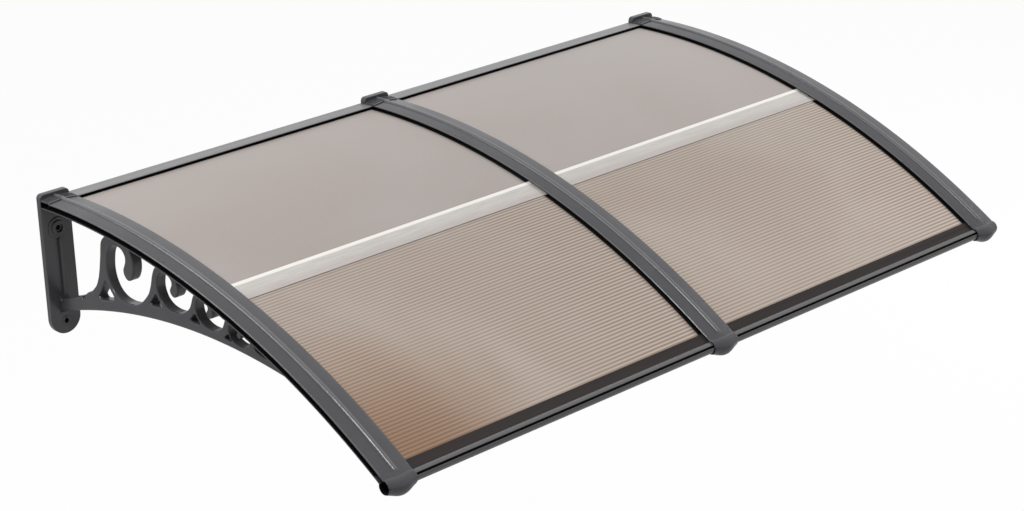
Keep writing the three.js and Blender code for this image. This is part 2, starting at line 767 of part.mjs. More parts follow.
const bracketGeometry = bracket();
for (const [side, x] of BRACKETS) addPiece(`bracket_${side}`, bracketGeometry, charcoal, x);

const length = BAY_PITCH - 2 * SHEET_END_GAP;
const bayPieces = [
  ["sheet_rear", sheet(REAR_SHEET_S, JOINER_WEB_S[0] - JOINER_SHEET_GAP, length), bronze],
  ["sheet_front", sheet(JOINER_WEB_S[1] + JOINER_SHEET_GAP, FRONT_MOUTH_END_S - 1, length), bronze],
  ["joiner", joiner(length), frosted],
  ["rear_bar", rearBar(length), barGrey],
  ["front_bar", frontBar(length), barGrey],
];
for (const [side, x] of BAYS) {
  for (const [name, geometry, finish] of bayPieces) {
    addPiece(`${name}_${side}`, geometry, finish, x + BAY_PITCH / 2);
  }
  const ends = [
    ["a", x + SCREW_X],
    ["b", x + BAY_PITCH - SCREW_X],
  ];
  for (const [end, screwX] of ends) {
    const seat = screwSeats(0);
    addPiece(`screw_rear_${side}_${end}`, screw(seat.rear, REAR_SCREW_LENGTH), zinc, screwX);
    addPiece(`screw_front_${side}_${end}`, screw(seat.front, FRONT_SCREW_LENGTH), zinc, screwX);
  }
}

export default group;
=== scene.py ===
"""Looks of the two-bay polycarbonate door canopy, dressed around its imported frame.

Sizes are millimetres in the canopy's own frame: x runs along the wall, u is the distance
out from the wall (towards -Y), z is up, s is the distance along the roof's arc and h the
height above that arc. Meshes are written in metres.
"""
import logging
import math
from dataclasses import dataclass, field
from enum import Enum
from typing import Callable, Iterable, Sequence

import bmesh
import bpy
from mathutils import Euler, Matrix, Vector


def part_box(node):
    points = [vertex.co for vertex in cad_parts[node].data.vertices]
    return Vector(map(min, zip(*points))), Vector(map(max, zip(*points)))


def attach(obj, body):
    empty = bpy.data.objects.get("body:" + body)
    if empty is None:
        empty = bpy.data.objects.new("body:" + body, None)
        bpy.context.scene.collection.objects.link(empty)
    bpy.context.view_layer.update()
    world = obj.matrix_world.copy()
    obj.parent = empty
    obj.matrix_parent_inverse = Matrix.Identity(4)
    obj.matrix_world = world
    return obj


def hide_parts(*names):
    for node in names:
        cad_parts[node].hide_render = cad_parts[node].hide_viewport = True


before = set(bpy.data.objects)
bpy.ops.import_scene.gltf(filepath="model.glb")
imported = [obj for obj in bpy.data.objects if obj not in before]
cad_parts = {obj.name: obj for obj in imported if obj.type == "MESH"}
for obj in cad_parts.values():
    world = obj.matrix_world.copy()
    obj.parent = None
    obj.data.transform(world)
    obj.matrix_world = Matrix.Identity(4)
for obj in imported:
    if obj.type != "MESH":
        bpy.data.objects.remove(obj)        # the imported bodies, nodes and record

MM = 0.001
BODY = "root"
SHARP_ANGLE = math.radians(21)
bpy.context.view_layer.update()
ARC_STEP = 8.0
END_GAP = 4.0
OUTWARD = Vector((0, -1, 0))
UPWARD = Vector((0, 0, 1))

Point = tuple[float, float]
Corner = tuple[float, float, float]
Colour = tuple[float, float, float, float]
log = logging.getLogger("canopy")


class Side(Enum):
    """A bracket's place along the wall."""

    LEFT = "left"
    MIDDLE = "middle"
    RIGHT = "right"

    @property
    def x(self) -> float:
        """The middle of this bracket along the wall."""
        low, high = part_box(f"bracket_{self.value}")
        return (low[0] + high[0]) / 2 / MM


class Bay(Enum):
    """One of the two bays, between two neighbouring brackets."""

    LEFT = (Side.LEFT, Side.MIDDLE)
    RIGHT = (Side.MIDDLE, Side.RIGHT)

    @property
    def word(self) -> str:
        """The word that the bay's node names end in."""
        return self.name.lower()

    def span(self, inset: float) -> Point:
        """The bay's extent along the wall, pulled in at both ends.

        Args:
            inset: Distance from each bracket's middle plane.

        Returns:
            The lowest and highest x.
        """
        return self.value[0].x + inset, self.value[1].x - inset


@dataclass(frozen=True)
class RoofArc:
    """The circular arc that the roof follows out from the wall."""

    radius: float = 1577.0
    start_tilt: float = math.radians(-3.0)
    start_z: float = 143.5

    @property
    def centre(self) -> Point:
        """The arc's centre as (u, z)."""
        tilt = self.start_tilt
        return -self.radius * math.sin(tilt), self.start_z - self.radius * math.cos(tilt)

    def angle(self, s: float) -> float:
        """The arc's slope at s, in radians below level."""
        return self.start_tilt + s / self.radius

    def point(self, s: float, h: float) -> Point:
        """The point (u, z) at s along the arc, raised by h."""
        u, z = self.centre
        reach = self.radius + h
        return u + reach * math.sin(self.angle(s)), z + reach * math.cos(self.angle(s))

    def height(self, u: float, h: float) -> float:
        """The z of the arc raised by h, straight above u."""
        return self.centre[1] + math.sqrt((self.radius + h) ** 2 - (u - self.centre[0]) ** 2)

    def over(self, spot: Vector) -> float:
        """The height over the arc of a spot in the part's frame, in millimetres."""
        return math.hypot(spot.y + self.centre[0], spot.z - self.centre[1]) - self.radius

    def along(self, spot: Vector) -> float:
        """The distance along the arc of a spot in the part's frame, in millimetres."""
        return (math.atan2(-spot.y - self.centre[0], spot.z - self.centre[1]) - self.start_tilt) * self.radius


ARC = RoofArc()


def place(x: float, u: float, z: float) -> Vector:
    """A point of the canopy's frame in metres."""
    return Vector((x, -u, z)) * MM


def new_object(name: str, data: bpy.types.ID) -> bpy.types.Object:
    """Link an object at the origin to the scene."""
    obj = bpy.data.objects.new(name, data)
    bpy.context.scene.collection.objects.link(obj)
    return obj


def discard(obj: bpy.types.Object) -> None:
    """Remove a helper object and its data."""
    data = obj.data
    bpy.data.objects.remove(obj)
    (bpy.data.meshes if isinstance(data, bpy.types.Mesh) else bpy.data.curves).remove(data)


def evaluated(obj: bpy.types.Object) -> bpy.types.Mesh:
    """The plain mesh that an object's modifiers or curve settings make."""
    graph = bpy.context.evaluated_depsgraph_get()
    return bpy.data.meshes.new_from_object(obj.evaluated_get(graph))


def settle(obj: bpy.types.Object) -> None:
    """Keep the mesh that an object's modifiers make, without the modifiers."""
    mesh, old = evaluated(obj), obj.data
    obj.modifiers.clear()
    obj.data = mesh
    bpy.data.meshes.remove(old)


def from_faces(name: str, points: Sequence[Vector], faces: Sequence[Sequence[int]]) -> bpy.types.Object:
    """Make a closed mesh object whose faces point outwards.

    Args:
        name: The object's name.
        points: Corners in metres.
        faces: Corner numbers of each face.

    Returns:
        The object.
    """
    mesh = bpy.data.meshes.new(name)
    mesh.from_pydata([tuple(p) for p in points], [], [list(f) for f in faces])
    tidy_mesh(mesh)
    return new_object(name, mesh)


def tidy_mesh(mesh: bpy.types.Mesh) -> None:
    """Merge doubled corners, turn all faces outwards and mark the sharp edges."""
    work = bmesh.new()
    work.from_mesh(mesh)
    bmesh.ops.remove_doubles(work, verts=work.verts, dist=1e-6)
    bmesh.ops.dissolve_degenerate(work, edges=work.edges, dist=1e-6)
    bmesh.ops.recalc_face_normals(work, faces=work.faces)
    work.to_mesh(mesh)
    work.free()
    mesh.polygons.foreach_set("use_smooth", [True] * len(mesh.polygons))
    mesh.set_sharp_from_angle(angle=SHARP_ANGLE)


def eased(corners: Sequence[Corner], steps: int = 3) -> list[Point]:
    """An outline whose corners are eased into short curves.

    Args:
        corners: Points with the length of easing at each.
        steps: Segments in each eased corner.

    Returns:
        The outline's points.
    """
    outline: list[Point] = []
    for i, (x, y, ease) in enumerate(corners):
        if ease <= 0:
            outline.append((x, y))
            continue
        here = Vector((x, y))
        ends = []
        for other in (corners[i - 1], corners[(i + 1) % len(corners)]):
            away = Vector(other[:2]) - here
            ends.append(here + away.normalized() * min(ease, away.length * 0.48))
        for k in range(steps + 1):
            t = k / steps
            p = ends[0] * (1 - t) ** 2 + here * (2 * t * (1 - t)) + ends[1] * t**2
            outline.append((p.x, p.y))
    return outline


def arc_points(centre: Point, radius: float, start: float, end: float, steps: int) -> list[Point]:
    """Points on a circle from one angle to another, in degrees."""
    angles = [math.radians(start + (end - start) * i / steps) for i in range(steps + 1)]
    return [(centre[0] + radius * math.cos(a), centre[1] + radius * math.sin(a)) for a in angles]


def smooth_through(points: Sequence[Point], steps: int) -> list[Point]:
    """A smooth open curve through points.

    Args:
        points: The points that it passes through.
        steps: Segments between each pair of points.

    Returns:
        The curve's points.
    """
    padded = [points[0], *points, points[-1]]
    curve: list[Point] = []
    for p0, p1, p2, p3 in zip(padded, padded[1:], padded[2:], padded[3:]):
        for k in range(steps):
            t = k / steps
            curve.append(tuple(
                0.5 * (2 * b + (c - a) * t + (2 * a - 5 * b + 4 * c - d) * t**2 + (3 * b - a - 3 * c + d) * t**3)
                for a, b, c, d in zip(p0, p1, p2, p3)
            ))
    return [*curve, points[-1]]


def spaced(start: float, end: float, step: float = ARC_STEP) -> list[float]:
    """Even stations from start to end, no further apart than step."""
    count = max(1, math.ceil((end - start) / step))
    return [start + (end - start) * i / count for i in range(count + 1)]


def box(x0: float, x1: float, y0: float, y1: float) -> list[Point]:
    """The corners of a rectangle, in order."""
    return [(x0, y0), (x1, y0), (x1, y1), (x0, y1)]


def band(low: int, high: int, count: int) -> list[list[int]]:
    """The quads between two rings of corners, numbered from low and from high."""
    return [[low + k, low + (k + 1) % count, high + (k + 1) % count, high + k] for k in range(count)]


def loft(name: str, rings: Sequence[Sequence[Vector]]) -> bpy.types.Object:
    """Join rings with the same number of corners into a closed solid.

    Args:
        name: The object's name.
        rings: The corners of each ring in metres, from one end to the other.

    Returns:
        The object.
    """
    count = len(rings[0])
    last = (len(rings) - 1) * count
    faces = [quad for low in range(0, last, count) for quad in band(low, low + count, count)]
    faces += [list(range(count)), list(range(last + count - 1, last - 1, -1))]
    return from_faces(name, [corner for ring in rings for corner in ring], faces)


def sweep(name: str, section: Callable[[float], Sequence[Point]], stations: Sequence[float]) -> bpy.types.Object:
    """Sweep a closed section along the roof's arc.

    Args:
        name: The object's name.
        section: Gives the outline of (x, h) points at a station.
        stations: Distances along the arc.

    Returns:
        The object.
    """
    return loft(name, [[place(x, *ARC.point(s, h)) for x, h in section(s)] for s in stations])


def flat_curve(name: str, loops: Sequence[Sequence[Point]], thickness: float, edge: float,
               basis: Matrix) -> bpy.types.Object:
    """A slab with eased edges, cut from outlines drawn on a plane.

    Args:
        name: The object's name.
        loops: The outer outline and any holes.
        thickness: The slab's thickness.
        edge: Width of the easing round every edge.
        basis: Takes the drawing's plane, with its normal, into the canopy's frame.

    Returns:
        The object.
    """
    curve = bpy.data.curves.new(name, "CURVE")
    curve.dimensions = "2D"
    curve.fill_mode = "BOTH"
    curve.extrude = (thickness / 2 - edge) * MM
    curve.bevel_depth = edge * MM
    curve.bevel_resolution = 1
    curve.offset = -edge * MM
    for loop in loops:
        spline = curve.splines.new("POLY")
        spline.points.add(len(loop) - 1)
        for point, (a, b) in zip(spline.points, loop):
            point.co = (a * MM, b * MM, 0, 1)
        spline.use_cyclic_u = True
    helper = new_object(name, curve)
    mesh = evaluated(helper)
    discard(helper)
    mesh.transform(basis)
    tidy_mesh(mesh)
    return new_object(name, mesh)


def side_basis(x: float) -> Matrix:
    """Takes a drawing in (u, z) to the plane at x along the wall."""
    return Matrix(((0, 0, -1, x * MM), (-1, 0, 0, 0), (0, 1, 0, 0), (0, 0, 0, 1)))


def front_basis(u: float) -> Matrix:
    """Takes a drawing in (x, z) to the plane at u out from the wall."""
    return Matrix(((1, 0, 0, 0), (0, 0, -1, -u * MM), (0, 1, 0, 0), (0, 0, 0, 1)))


def revolve(name: str, profile: Sequence[Point], at: Vector, axis: Vector, sides: int = 64) -> bpy.types.Object:
    """Turn a profile of (radius, distance along the axis) into a round solid.

    Args:
        name: The object's name.
        profile: From the axis back to the axis, or a closed ring.
        at: The profile's zero in metres.
        axis: The direction of the axis.
        sides: Segments round the axis.

    Returns:
        The object.
    """
    turn = axis.to_track_quat("Z", "Y").to_matrix()
    angles = [math.tau * k / sides for k in range(sides)]
    points = [at + turn @ (Vector((radius * math.cos(a), radius * math.sin(a), along)) * MM)
              for radius, along in profile for a in angles]
    faces = []
    for i, (radius, _) in enumerate(profile):
        after = (i + 1) % len(profile)
        if radius or profile[after][0]:
            faces += band(i * sides, after * sides, sides)
    return from_faces(name, points, faces)


def extrude_x(name: str, outline: Sequence[Point], span: Point, bore: Sequence[Point] = ()) -> bpy.types.Object:
    """Extrude an outline in (u, z) along the wall.

    Args:
        name: The object's name.
        outline: The section's outline.
        span: The lowest and highest x.
        bore: The outline of a bore through it, if it has one.

    Returns:
        The object.
    """
    body = loft(name, [[place(x, *p) for p in outline] for x in span])
    if bore:
        combine(body, [extrude_x(f"{name}_bore", bore, (span[0] - 1, span[1] + 1))], "DIFFERENCE")
    return body


def combine(body: bpy.types.Object, tools: Iterable[bpy.types.Object], operation: str) -> None:
    """Join or cut a closed solid with others, which are used up.

    Args:
        body: The solid that is changed.
        tools: The closed solids that it is joined to or cut by.
        operation: UNION or DIFFERENCE.
    """
    for tool in tools:
        step = body.modifiers.new("step", "BOOLEAN")
        step.operation = operation
        step.solver = "MANIFOLD"
        step.object = tool
        settle(body)
        discard(tool)
    body.data.materials.clear()
    tidy_mesh(body.data)


def hand_over(piece: bpy.types.Object, nodes: Sequence[str],
              materials: Sequence[bpy.types.Material] = ()) -> None:
    """Fix a finished piece to the canopy in place of its plain solids.

    Args:
        piece: The finished piece.
        nodes: The plain solids that it stands for.
        materials: Its finishes, where its mesh doesn't have them yet.
    """
    for material in materials:
        piece.data.materials.append(material)
    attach(piece, BODY)
    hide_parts(*nodes)
    log.info("%s: %d faces", piece.name, len(piece.data.polygons))


# Shader node groups
class NodeMaker:
    """A node tree that is filled in a few words."""

    def __init__(self, tree: bpy.types.NodeTree) -> None:
        """Start on a tree, emptied of its nodes."""
        self.tree = tree
        tree.nodes.clear()

    def node(self, kind: str, inputs: dict | None = None, **settings: object) -> bpy.types.Node:
        """Add a node.

        Args:
            kind: The node's type.
            inputs: Socket values, or sockets of other nodes to link.
            settings: The node's own settings.

        Returns:
            The node.
        """
        made = self.tree.nodes.new(kind)
        for key, value in settings.items():
            setattr(made, key, value)
        for key, value in (inputs or {}).items():
            if isinstance(value, bpy.types.NodeSocket):
                self.link(value, made.inputs[key])
            else:
                made.inputs[key].default_value = value
        return made

    def link(self, source: bpy.types.NodeSocket, target: bpy.types.NodeSocket) -> None:
        """Link two sockets."""
        self.tree.links.new(source, target)

    def math(self, operation: str, *values: object, clamp: bool = False) -> bpy.types.NodeSocket:
        """Add a Math node and give its result."""
        return self.node("ShaderNodeMath", dict(enumerate(values)), operation=operation, use_clamp=clamp).outputs[0]

    def vector(self, operation: str, first: object, second: object) -> bpy.types.Node:
        """Add a Vector Math node."""
        return self.node("ShaderNodeVectorMath", {0: first, 1: second}, operation=operation)


class Shader(NodeMaker):
    """A shader tree."""

    def ramp(self, value: bpy.types.NodeSocket, low: object, high: object, to_low: float,
             to_high: float) -> bpy.types.NodeSocket:
        """Map a value smoothly from one range to another."""
        inputs = {"Value": value, "From Min": low, "From Max": high, "To Min": to_low, "To Max": to_high}
        return self.node("ShaderNodeMapRange", inputs, interpolation_type="SMOOTHSTEP").outputs["Result"]

    def blend(self, factor: object, first: object, second: object, how: str = "MIX") -> bpy.types.NodeSocket:
        """Mix two colours and give the result."""
        inputs = {0: factor, 6: first, 7: second}
        return self.node("ShaderNodeMix", inputs, data_type="RGBA", blend_type=how).outputs[2]

    def group(self, tree: bpy.types.NodeTree, **inputs: object) -> bpy.types.NodeOutputs:
        """Add a shared node group and give its outputs."""
        return self.node("ShaderNodeGroup", inputs, node_tree=tree).outputs

    def show(self, kind: str, shader: bpy.types.Node) -> None:
        """End the tree in an output node."""
        self.link(shader.outputs[0], self.node(kind).inputs["Surface"])


def shader_group(name: str, inputs: dict[str, float | None], outputs: Sequence[str]) -> tuple[Shader, dict, dict]:
    """Start a shader node group with named sockets.

    Args:
        name: The group's name.
        inputs: Each input's default, or None for a vector.
        outputs: The names of its value outputs.

    Returns:
        The group's shader, its input sockets and its output node's inputs.
    """
    tree = bpy.data.node_groups.new(name, "ShaderNodeTree")
    for key, default in inputs.items():
        kind = "NodeSocketVector" if default is None else "NodeSocketFloat"
        socket = tree.interface.new_socket(key, in_out="INPUT", socket_type=kind)
        if default is not None:
            socket.default_value = default
    for key in outputs:
        tree.interface.new_socket(key, in_out="OUTPUT", socket_type="NodeSocketFloat")
    shader = Shader(tree)
    source = shader.node("NodeGroupInput")
    target = shader.node("NodeGroupOutput")
    return shader, {key: source.outputs[key] for key in inputs}, {key: target.inputs[key] for key in outputs}


def moulded_grain() -> bpy.types.NodeTree:
    """The fine spark grain and the slow flow marks of a moulded surface."""
    shader, use, give = shader_group(
        "moulded_grain", {"Vector": None, "Grain Scale": 900.0, "Flow Scale": 7.0}, ("Grain", "Flow"))
    grain = shader.node("ShaderNodeTexNoise", {"Vector": use["Vector"], "Scale": use["Grain Scale"], "Detail": 3.0})
    flow = shader.node("ShaderNodeTexNoise", {
        "Vector": use["Vector"], "Scale": use["Flow Scale"], "Detail": 4.0, "Roughness": 0.55, "Distortion": 0.6})
    shader.link(grain.outputs["Fac"], give["Grain"])
    shader.link(flow.outputs["Fac"], give["Flow"])
    return shader.tree


def die_lines() -> bpy.types.NodeTree:
    """The fine lines that an extrusion die leaves along X."""
    shader, use, give = shader_group(
        "die_lines", {"Vector": None, "Density": 700.0, "Length": 0.012}, ("Lines", "Bands"))
    stretch = shader.node("ShaderNodeCombineXYZ", {"X": use["Length"], "Y": 1.0, "Z": 1.0}).outputs[0]
    along = shader.vector("MULTIPLY", use["Vector"], stretch).outputs[0]
    lines = shader.node("ShaderNodeTexNoise", {"Vector": along, "Scale": use["Density"], "Detail": 2.0})
    bands = shader.node("ShaderNodeTexNoise", {"Vector": along, "Scale": 60.0, "Detail": 1.0})
    shader.link(lines.outputs["Fac"], give["Lines"])
    shader.link(bands.outputs["Fac"], give["Bands"])
    return shader.tree


def cloud_film() -> bpy.types.NodeTree:
    """Slow clouds of haze over a surface, as weather and handling leave on it."""
    shader, use, give = shader_group(
        "cloud_film", {"Vector": None, "Scale": 3.0, "Low": 0.35, "High": 0.7}, ("Film",))
    noise = shader.node("ShaderNodeTexNoise", {
        "Vector": use["Vector"], "Scale": use["Scale"], "Detail": 3.0, "Roughness": 0.5, "Distortion": 0.8})
    shader.link(shader.ramp(noise.outputs["Fac"], use["Low"], use["High"], 0.0, 1.0), give["Film"])
    return shader.tree


def flute_lines() -> bpy.types.NodeTree:
    """The walls of the flutes as they show through the skin, from the distance counted in flutes."""
    shader, use, give = shader_group(
        "flute_lines", {"Distance": 0.0, "Softness": 3.0}, ("Wall", "Ripple", "Crest"))
    turn = shader.math("MULTIPLY", use["Distance"], math.tau)
    wave = shader.math("MULTIPLY_ADD", shader.math("COSINE", turn), 0.5, 0.5)
    wall = shader.math("POWER", wave, use["Softness"])
    shader.link(wall, give["Wall"])
    shader.link(wave, give["Ripple"])
    shader.link(shader.math("SUBTRACT", 1.0, wave), give["Crest"])
    return shader.tree


class Groups:
    """The shader node groups, each built once and shared by the finishes."""

    def __init__(self) -> None:
        """Build every group."""
        self.grain = moulded_grain()
        self.lines = die_lines()
        self.film = cloud_film()
        self.flutes = flute_lines()


class Surface(Shader):
    """A material with one Principled BSDF, patterned in Object coordinates."""

    def __init__(self, name: str, **fixed: float) -> None:
        """Start the material.

        Args:
            name: The material's name.
            fixed: Values that are the same all over, by socket name with _ for a space.
        """
        self.material = bpy.data.materials.new(name)
        self.material.use_nodes = True
        super().__init__(self.material.node_tree)
        values = {key.replace("_", " "): value for key, value in fixed.items()}
        self.bsdf = self.node("ShaderNodeBsdfPrincipled", values)
        self.show("ShaderNodeOutputMaterial", self.bsdf)
        self.where = self.node("ShaderNodeTexCoord").outputs["Object"]

    def close(self, colour: bpy.types.NodeSocket, rough: bpy.types.NodeSocket,
              relief: tuple[bpy.types.NodeSocket, float, float] | None = None) -> bpy.types.Material:
        """Link what varies over the surface.

        Args:
            colour: The base colour.
            rough: The roughness.
            relief: The bump's height, strength and depth in metres, if it has one.

        Returns:
            The material.
        """
        self.link(colour, self.bsdf.inputs["Base Color"])
        self.link(rough, self.bsdf.inputs["Roughness"])
        if relief:
            inputs = dict(zip(("Height", "Strength", "Distance"), relief))
            self.link(self.node("ShaderNodeBump", inputs).outputs["Normal"], self.bsdf.inputs["Normal"])
        return self.material


@dataclass(frozen=True)
class MouldedPlastic:
    """Charcoal moulded plastic with a satin spark finish."""

    name: str = "charcoal_plastic"
    colour: Colour = (0.043, 0.043, 0.048, 1)
    dusty: Colour = (0.066, 0.066, 0.069, 1)
    roughness: Point = (0.26, 0.38)
    gloss: float = 0.5
    grain_depth: float = 0.00006
    dust_scale: float = 9.0
    dust_low: float = 0.45
    dust_share: float = 0.35
    relief: float = 0.35

    def build(self, groups: Groups) -> bpy.types.Material:
        """Make the material."""
        work = Surface(self.name, IOR=1.5, Specular_IOR_Level=self.gloss)
        grain = work.group(groups.grain, Vector=work.where)
        film = work.group(groups.film, Vector=work.where, Scale=self.dust_scale, Low=self.dust_low)
        tone = work.blend(work.math("MULTIPLY", film["Film"], self.dust_share), self.colour, self.dusty)
        rough = work.ramp(grain["Flow"], 0.3, 0.7, *self.roughness)
        return work.close(tone, rough, (grain["Grain"], self.relief, self.grain_depth))


@dataclass(frozen=True)
class CoatedBar:
    """Extruded bar with a dark satin coating that follows its die lines."""

    name: str
    colour: Colour
    pale: Colour
    roughness: Point = (0.3, 0.42)
    gloss: float = 0.5
    relief: float = 0.25
    line_depth: float = 0.00005

    def build(self, groups: Groups) -> bpy.types.Material:
        """Make the material."""
        work = Surface(self.name, IOR=1.5, Specular_IOR_Level=self.gloss)
        lines = work.group(groups.lines, Vector=work.where)
        tone = work.blend(work.ramp(lines["Bands"], 0.35, 0.65, 0.0, 1.0), self.colour, self.pale)
        rough = work.ramp(lines["Lines"], 0.3, 0.7, *self.roughness)
        return work.close(tone, rough, (lines["Lines"], self.relief, self.line_depth))


@dataclass(frozen=True)
class TwinWallFinish:
    """Translucent bronze sheet whose flute walls show through its skin."""

    name: str
    body: Colour
    cloud: Colour
    warm: Colour
    wall_tone: float
    # Painted shadow: near black over the flutes before this count, under the rear bar's edge, and in a strip beside
    # each bracket's cap.
    rear_line: float = -1.0
    tape: Colour = (0.006, 0.006, 0.006, 1)
    tape_reach: Point = (0.0348, 0.036)
    bay: float = 0.75
    warm_centre: Corner = (-0.72, -0.93, -0.08)
    warm_reach: Point = (0.04, 0.4)
    # Painted shade: the sheet is darker towards the wall, fading out towards the front.
    upper_tone: Colour = (0.78, 0.79, 0.79, 1)
    upper_span: Point = (0.52, 0.95)
    cloud_scale: float = 2.6
    softness: float = 2.2
    crisp_share: Point = (0.55, 0.96)
    crisp_gain: float = 0.55
    wall_shade: Colour = (0.6, 0.53, 0.48, 1)
    ridge_light: Colour = (1.22, 1.24, 1.26, 1)
    ridge_power: float = 3.0
    roughness: Point = (0.3, 0.42)
    relief: Point = (0.3, 0.0002)

    def lined(self, work: Surface, tone: bpy.types.NodeSocket, flutes: bpy.types.NodeOutputs,
              fade: bpy.types.NodeSocket) -> bpy.types.NodeSocket:
        """Draw the darker walls and lighter ridges of the flutes over a tone."""
        wall = work.math("MULTIPLY", flutes["Wall"], fade)
        depth = work.math("MULTIPLY", wall, self.wall_tone, clamp=True)
        dark = work.blend(1.0, tone, self.wall_shade, "MULTIPLY")
        light = work.blend(1.0, tone, self.ridge_light, "MULTIPLY")
        ridge = work.math("MULTIPLY", work.math("POWER", flutes["Crest"], self.ridge_power), self.wall_tone)
        ridge = work.math("MULTIPLY", ridge, fade, clamp=True)
        return work.blend(ridge, work.blend(depth, tone, dark), light)

    def build(self, groups: Groups) -> bpy.types.Material:
        """Make the material: clouds, the warm corner, the flutes and the painted shadow beside the brackets and under
        the rear bar's edge.
        """
        work = Surface(self.name, IOR=1.45)
        film = work.group(groups.film, Vector=work.where, Scale=self.cloud_scale)["Film"]
        away = work.vector("DISTANCE", work.where, self.warm_centre).outputs["Value"]
        warmth = work.ramp(away, *self.warm_reach, 1.0, 0.0)
        spot = work.node("ShaderNodeSeparateXYZ", {0: work.where}).outputs
        # Painted shade, darker towards the wall and fading out towards the front.
        upper = work.ramp(work.math("MULTIPLY", spot["Y"], -1.0), *self.upper_span, 1.0, 0.0)
        clouds = work.blend(film, self.body, self.cloud)
        clouds = work.blend(upper, clouds, work.blend(1.0, clouds, self.upper_tone, "MULTIPLY"))
        tone = work.blend(warmth, clouds, self.warm)
        uv = work.node("ShaderNodeUVMap", uv_map="flutes").outputs[0]
        counted = work.node("ShaderNodeSeparateXYZ", {0: uv}).outputs["Y"]
        flutes = work.group(groups.flutes, Softness=self.softness, Distance=counted)
        share = work.math("FRACT", work.math("MULTIPLY_ADD", spot["X"], 1 / self.bay, 4.0))
        crisp = work.ramp(share, *self.crisp_share, 0.0, self.crisp_gain)
        fade = work.math("ADD", work.ramp(film, 0.0, 1.0, 1.0, 0.7), crisp)
        nearest = work.math("MULTIPLY", work.math("PINGPONG", share, 0.5), self.bay)
        # Painted shadow: near black within about 35 mm of each bracket's middle, just past its cap edge, and over the
        # first flutes by the rear bar.
        ends = work.ramp(nearest, *self.tape_reach, 1.0, 0.0)
        painted_shadow = work.math("MAXIMUM", ends, work.math("LESS_THAN", counted, self.rear_line))
        tone = work.blend(painted_shadow, self.lined(work, tone, flutes, fade), self.tape)
        rough = work.ramp(film, 0.0, 1.0, *self.roughness)
        return work.close(tone, rough, (flutes["Ripple"], *self.relief))


@dataclass(frozen=True)
class FrostedFinish:
    """Milky clear extrusion of the joiners over the bronze sheets, with a painted highlight along its upper edge and
    painted shade along its lower edge.
    """

    name: str = "frosted_joiner"
    colour: Colour = (0.47, 0.448, 0.426, 1)
    shade: Colour = (0.335, 0.315, 0.295, 1)
    over_sheet: Colour = (0.4, 0.35, 0.335, 1)
    # The lip colour is a painted highlight along the upper edge.
    lip: Colour = (0.66, 0.635, 0.6, 1)
    span: Point = (0.4746, 0.5205)
    line_density: float = 1400.0
    film_scale: float = 6.0
    roughness: Point = (0.28, 0.4)
    relief: Point = (0.2, 0.0002)

    def build(self, groups: Groups) -> bpy.types.Material:
        """Make the material: zones across the strip, with streaks along it."""
        work = Surface(self.name, IOR=1.45)
        lines = work.group(groups.lines, Vector=work.where, Density=self.line_density)
        film = work.group(groups.film, Vector=work.where, Scale=self.film_scale)["Film"]
        out = work.math("MULTIPLY", work.node("ShaderNodeSeparateXYZ", {0: work.where}).outputs["Y"], -1.0)
        across = work.node("ShaderNodeMapRange", {
            "Value": out, "From Min": self.span[0], "From Max": self.span[1]}).outputs["Result"]
        tone = work.blend(work.ramp(across, 0.45, 0.75, 0.0, 0.8), self.colour, self.over_sheet)
        streaks = work.ramp(lines["Lines"], 0.42, 0.6, 0.0, 0.75)
        tone = work.blend(work.math("MAXIMUM", streaks, work.math("MULTIPLY", film, 0.4)), tone, self.shade)
        # Painted highlight along the upper edge, then painted shade along the lower edge.
        tone = work.blend(work.ramp(across, 0.03, 0.07, 1.0, 0.0), tone, self.lip)
        tone = work.blend(work.ramp(across, 0.93, 0.98, 0.0, 0.7), tone, self.shade)
        rough = work.ramp(lines["Lines"], 0.3, 0.7, *self.roughness)
        return work.close(tone, rough, (lines["Bands"], *self.relief))


@dataclass(frozen=True)
class ZincFinish:
    """Zinc-plated steel of the screws."""

    name: str = "zinc_plate"
    colour: Colour = (0.55, 0.56, 0.58, 1)
    dull: Colour = (0.36, 0.36, 0.37, 1)
    grain_scale: float = 2500.0
    flow_scale: float = 300.0
    roughness: Point = (0.28, 0.45)

    def build(self, groups: Groups) -> bpy.types.Material:
        """Make the material."""
        work = Surface(self.name, Metallic=1.0)
        scales = {"Grain Scale": self.grain_scale, "Flow Scale": self.flow_scale}
        grain = work.group(groups.grain, Vector=work.where, **scales)
        tone = work.blend(grain["Flow"], self.colour, self.dull)
        return work.close(tone, work.ramp(grain["Grain"], 0.3, 0.7, *self.roughness))


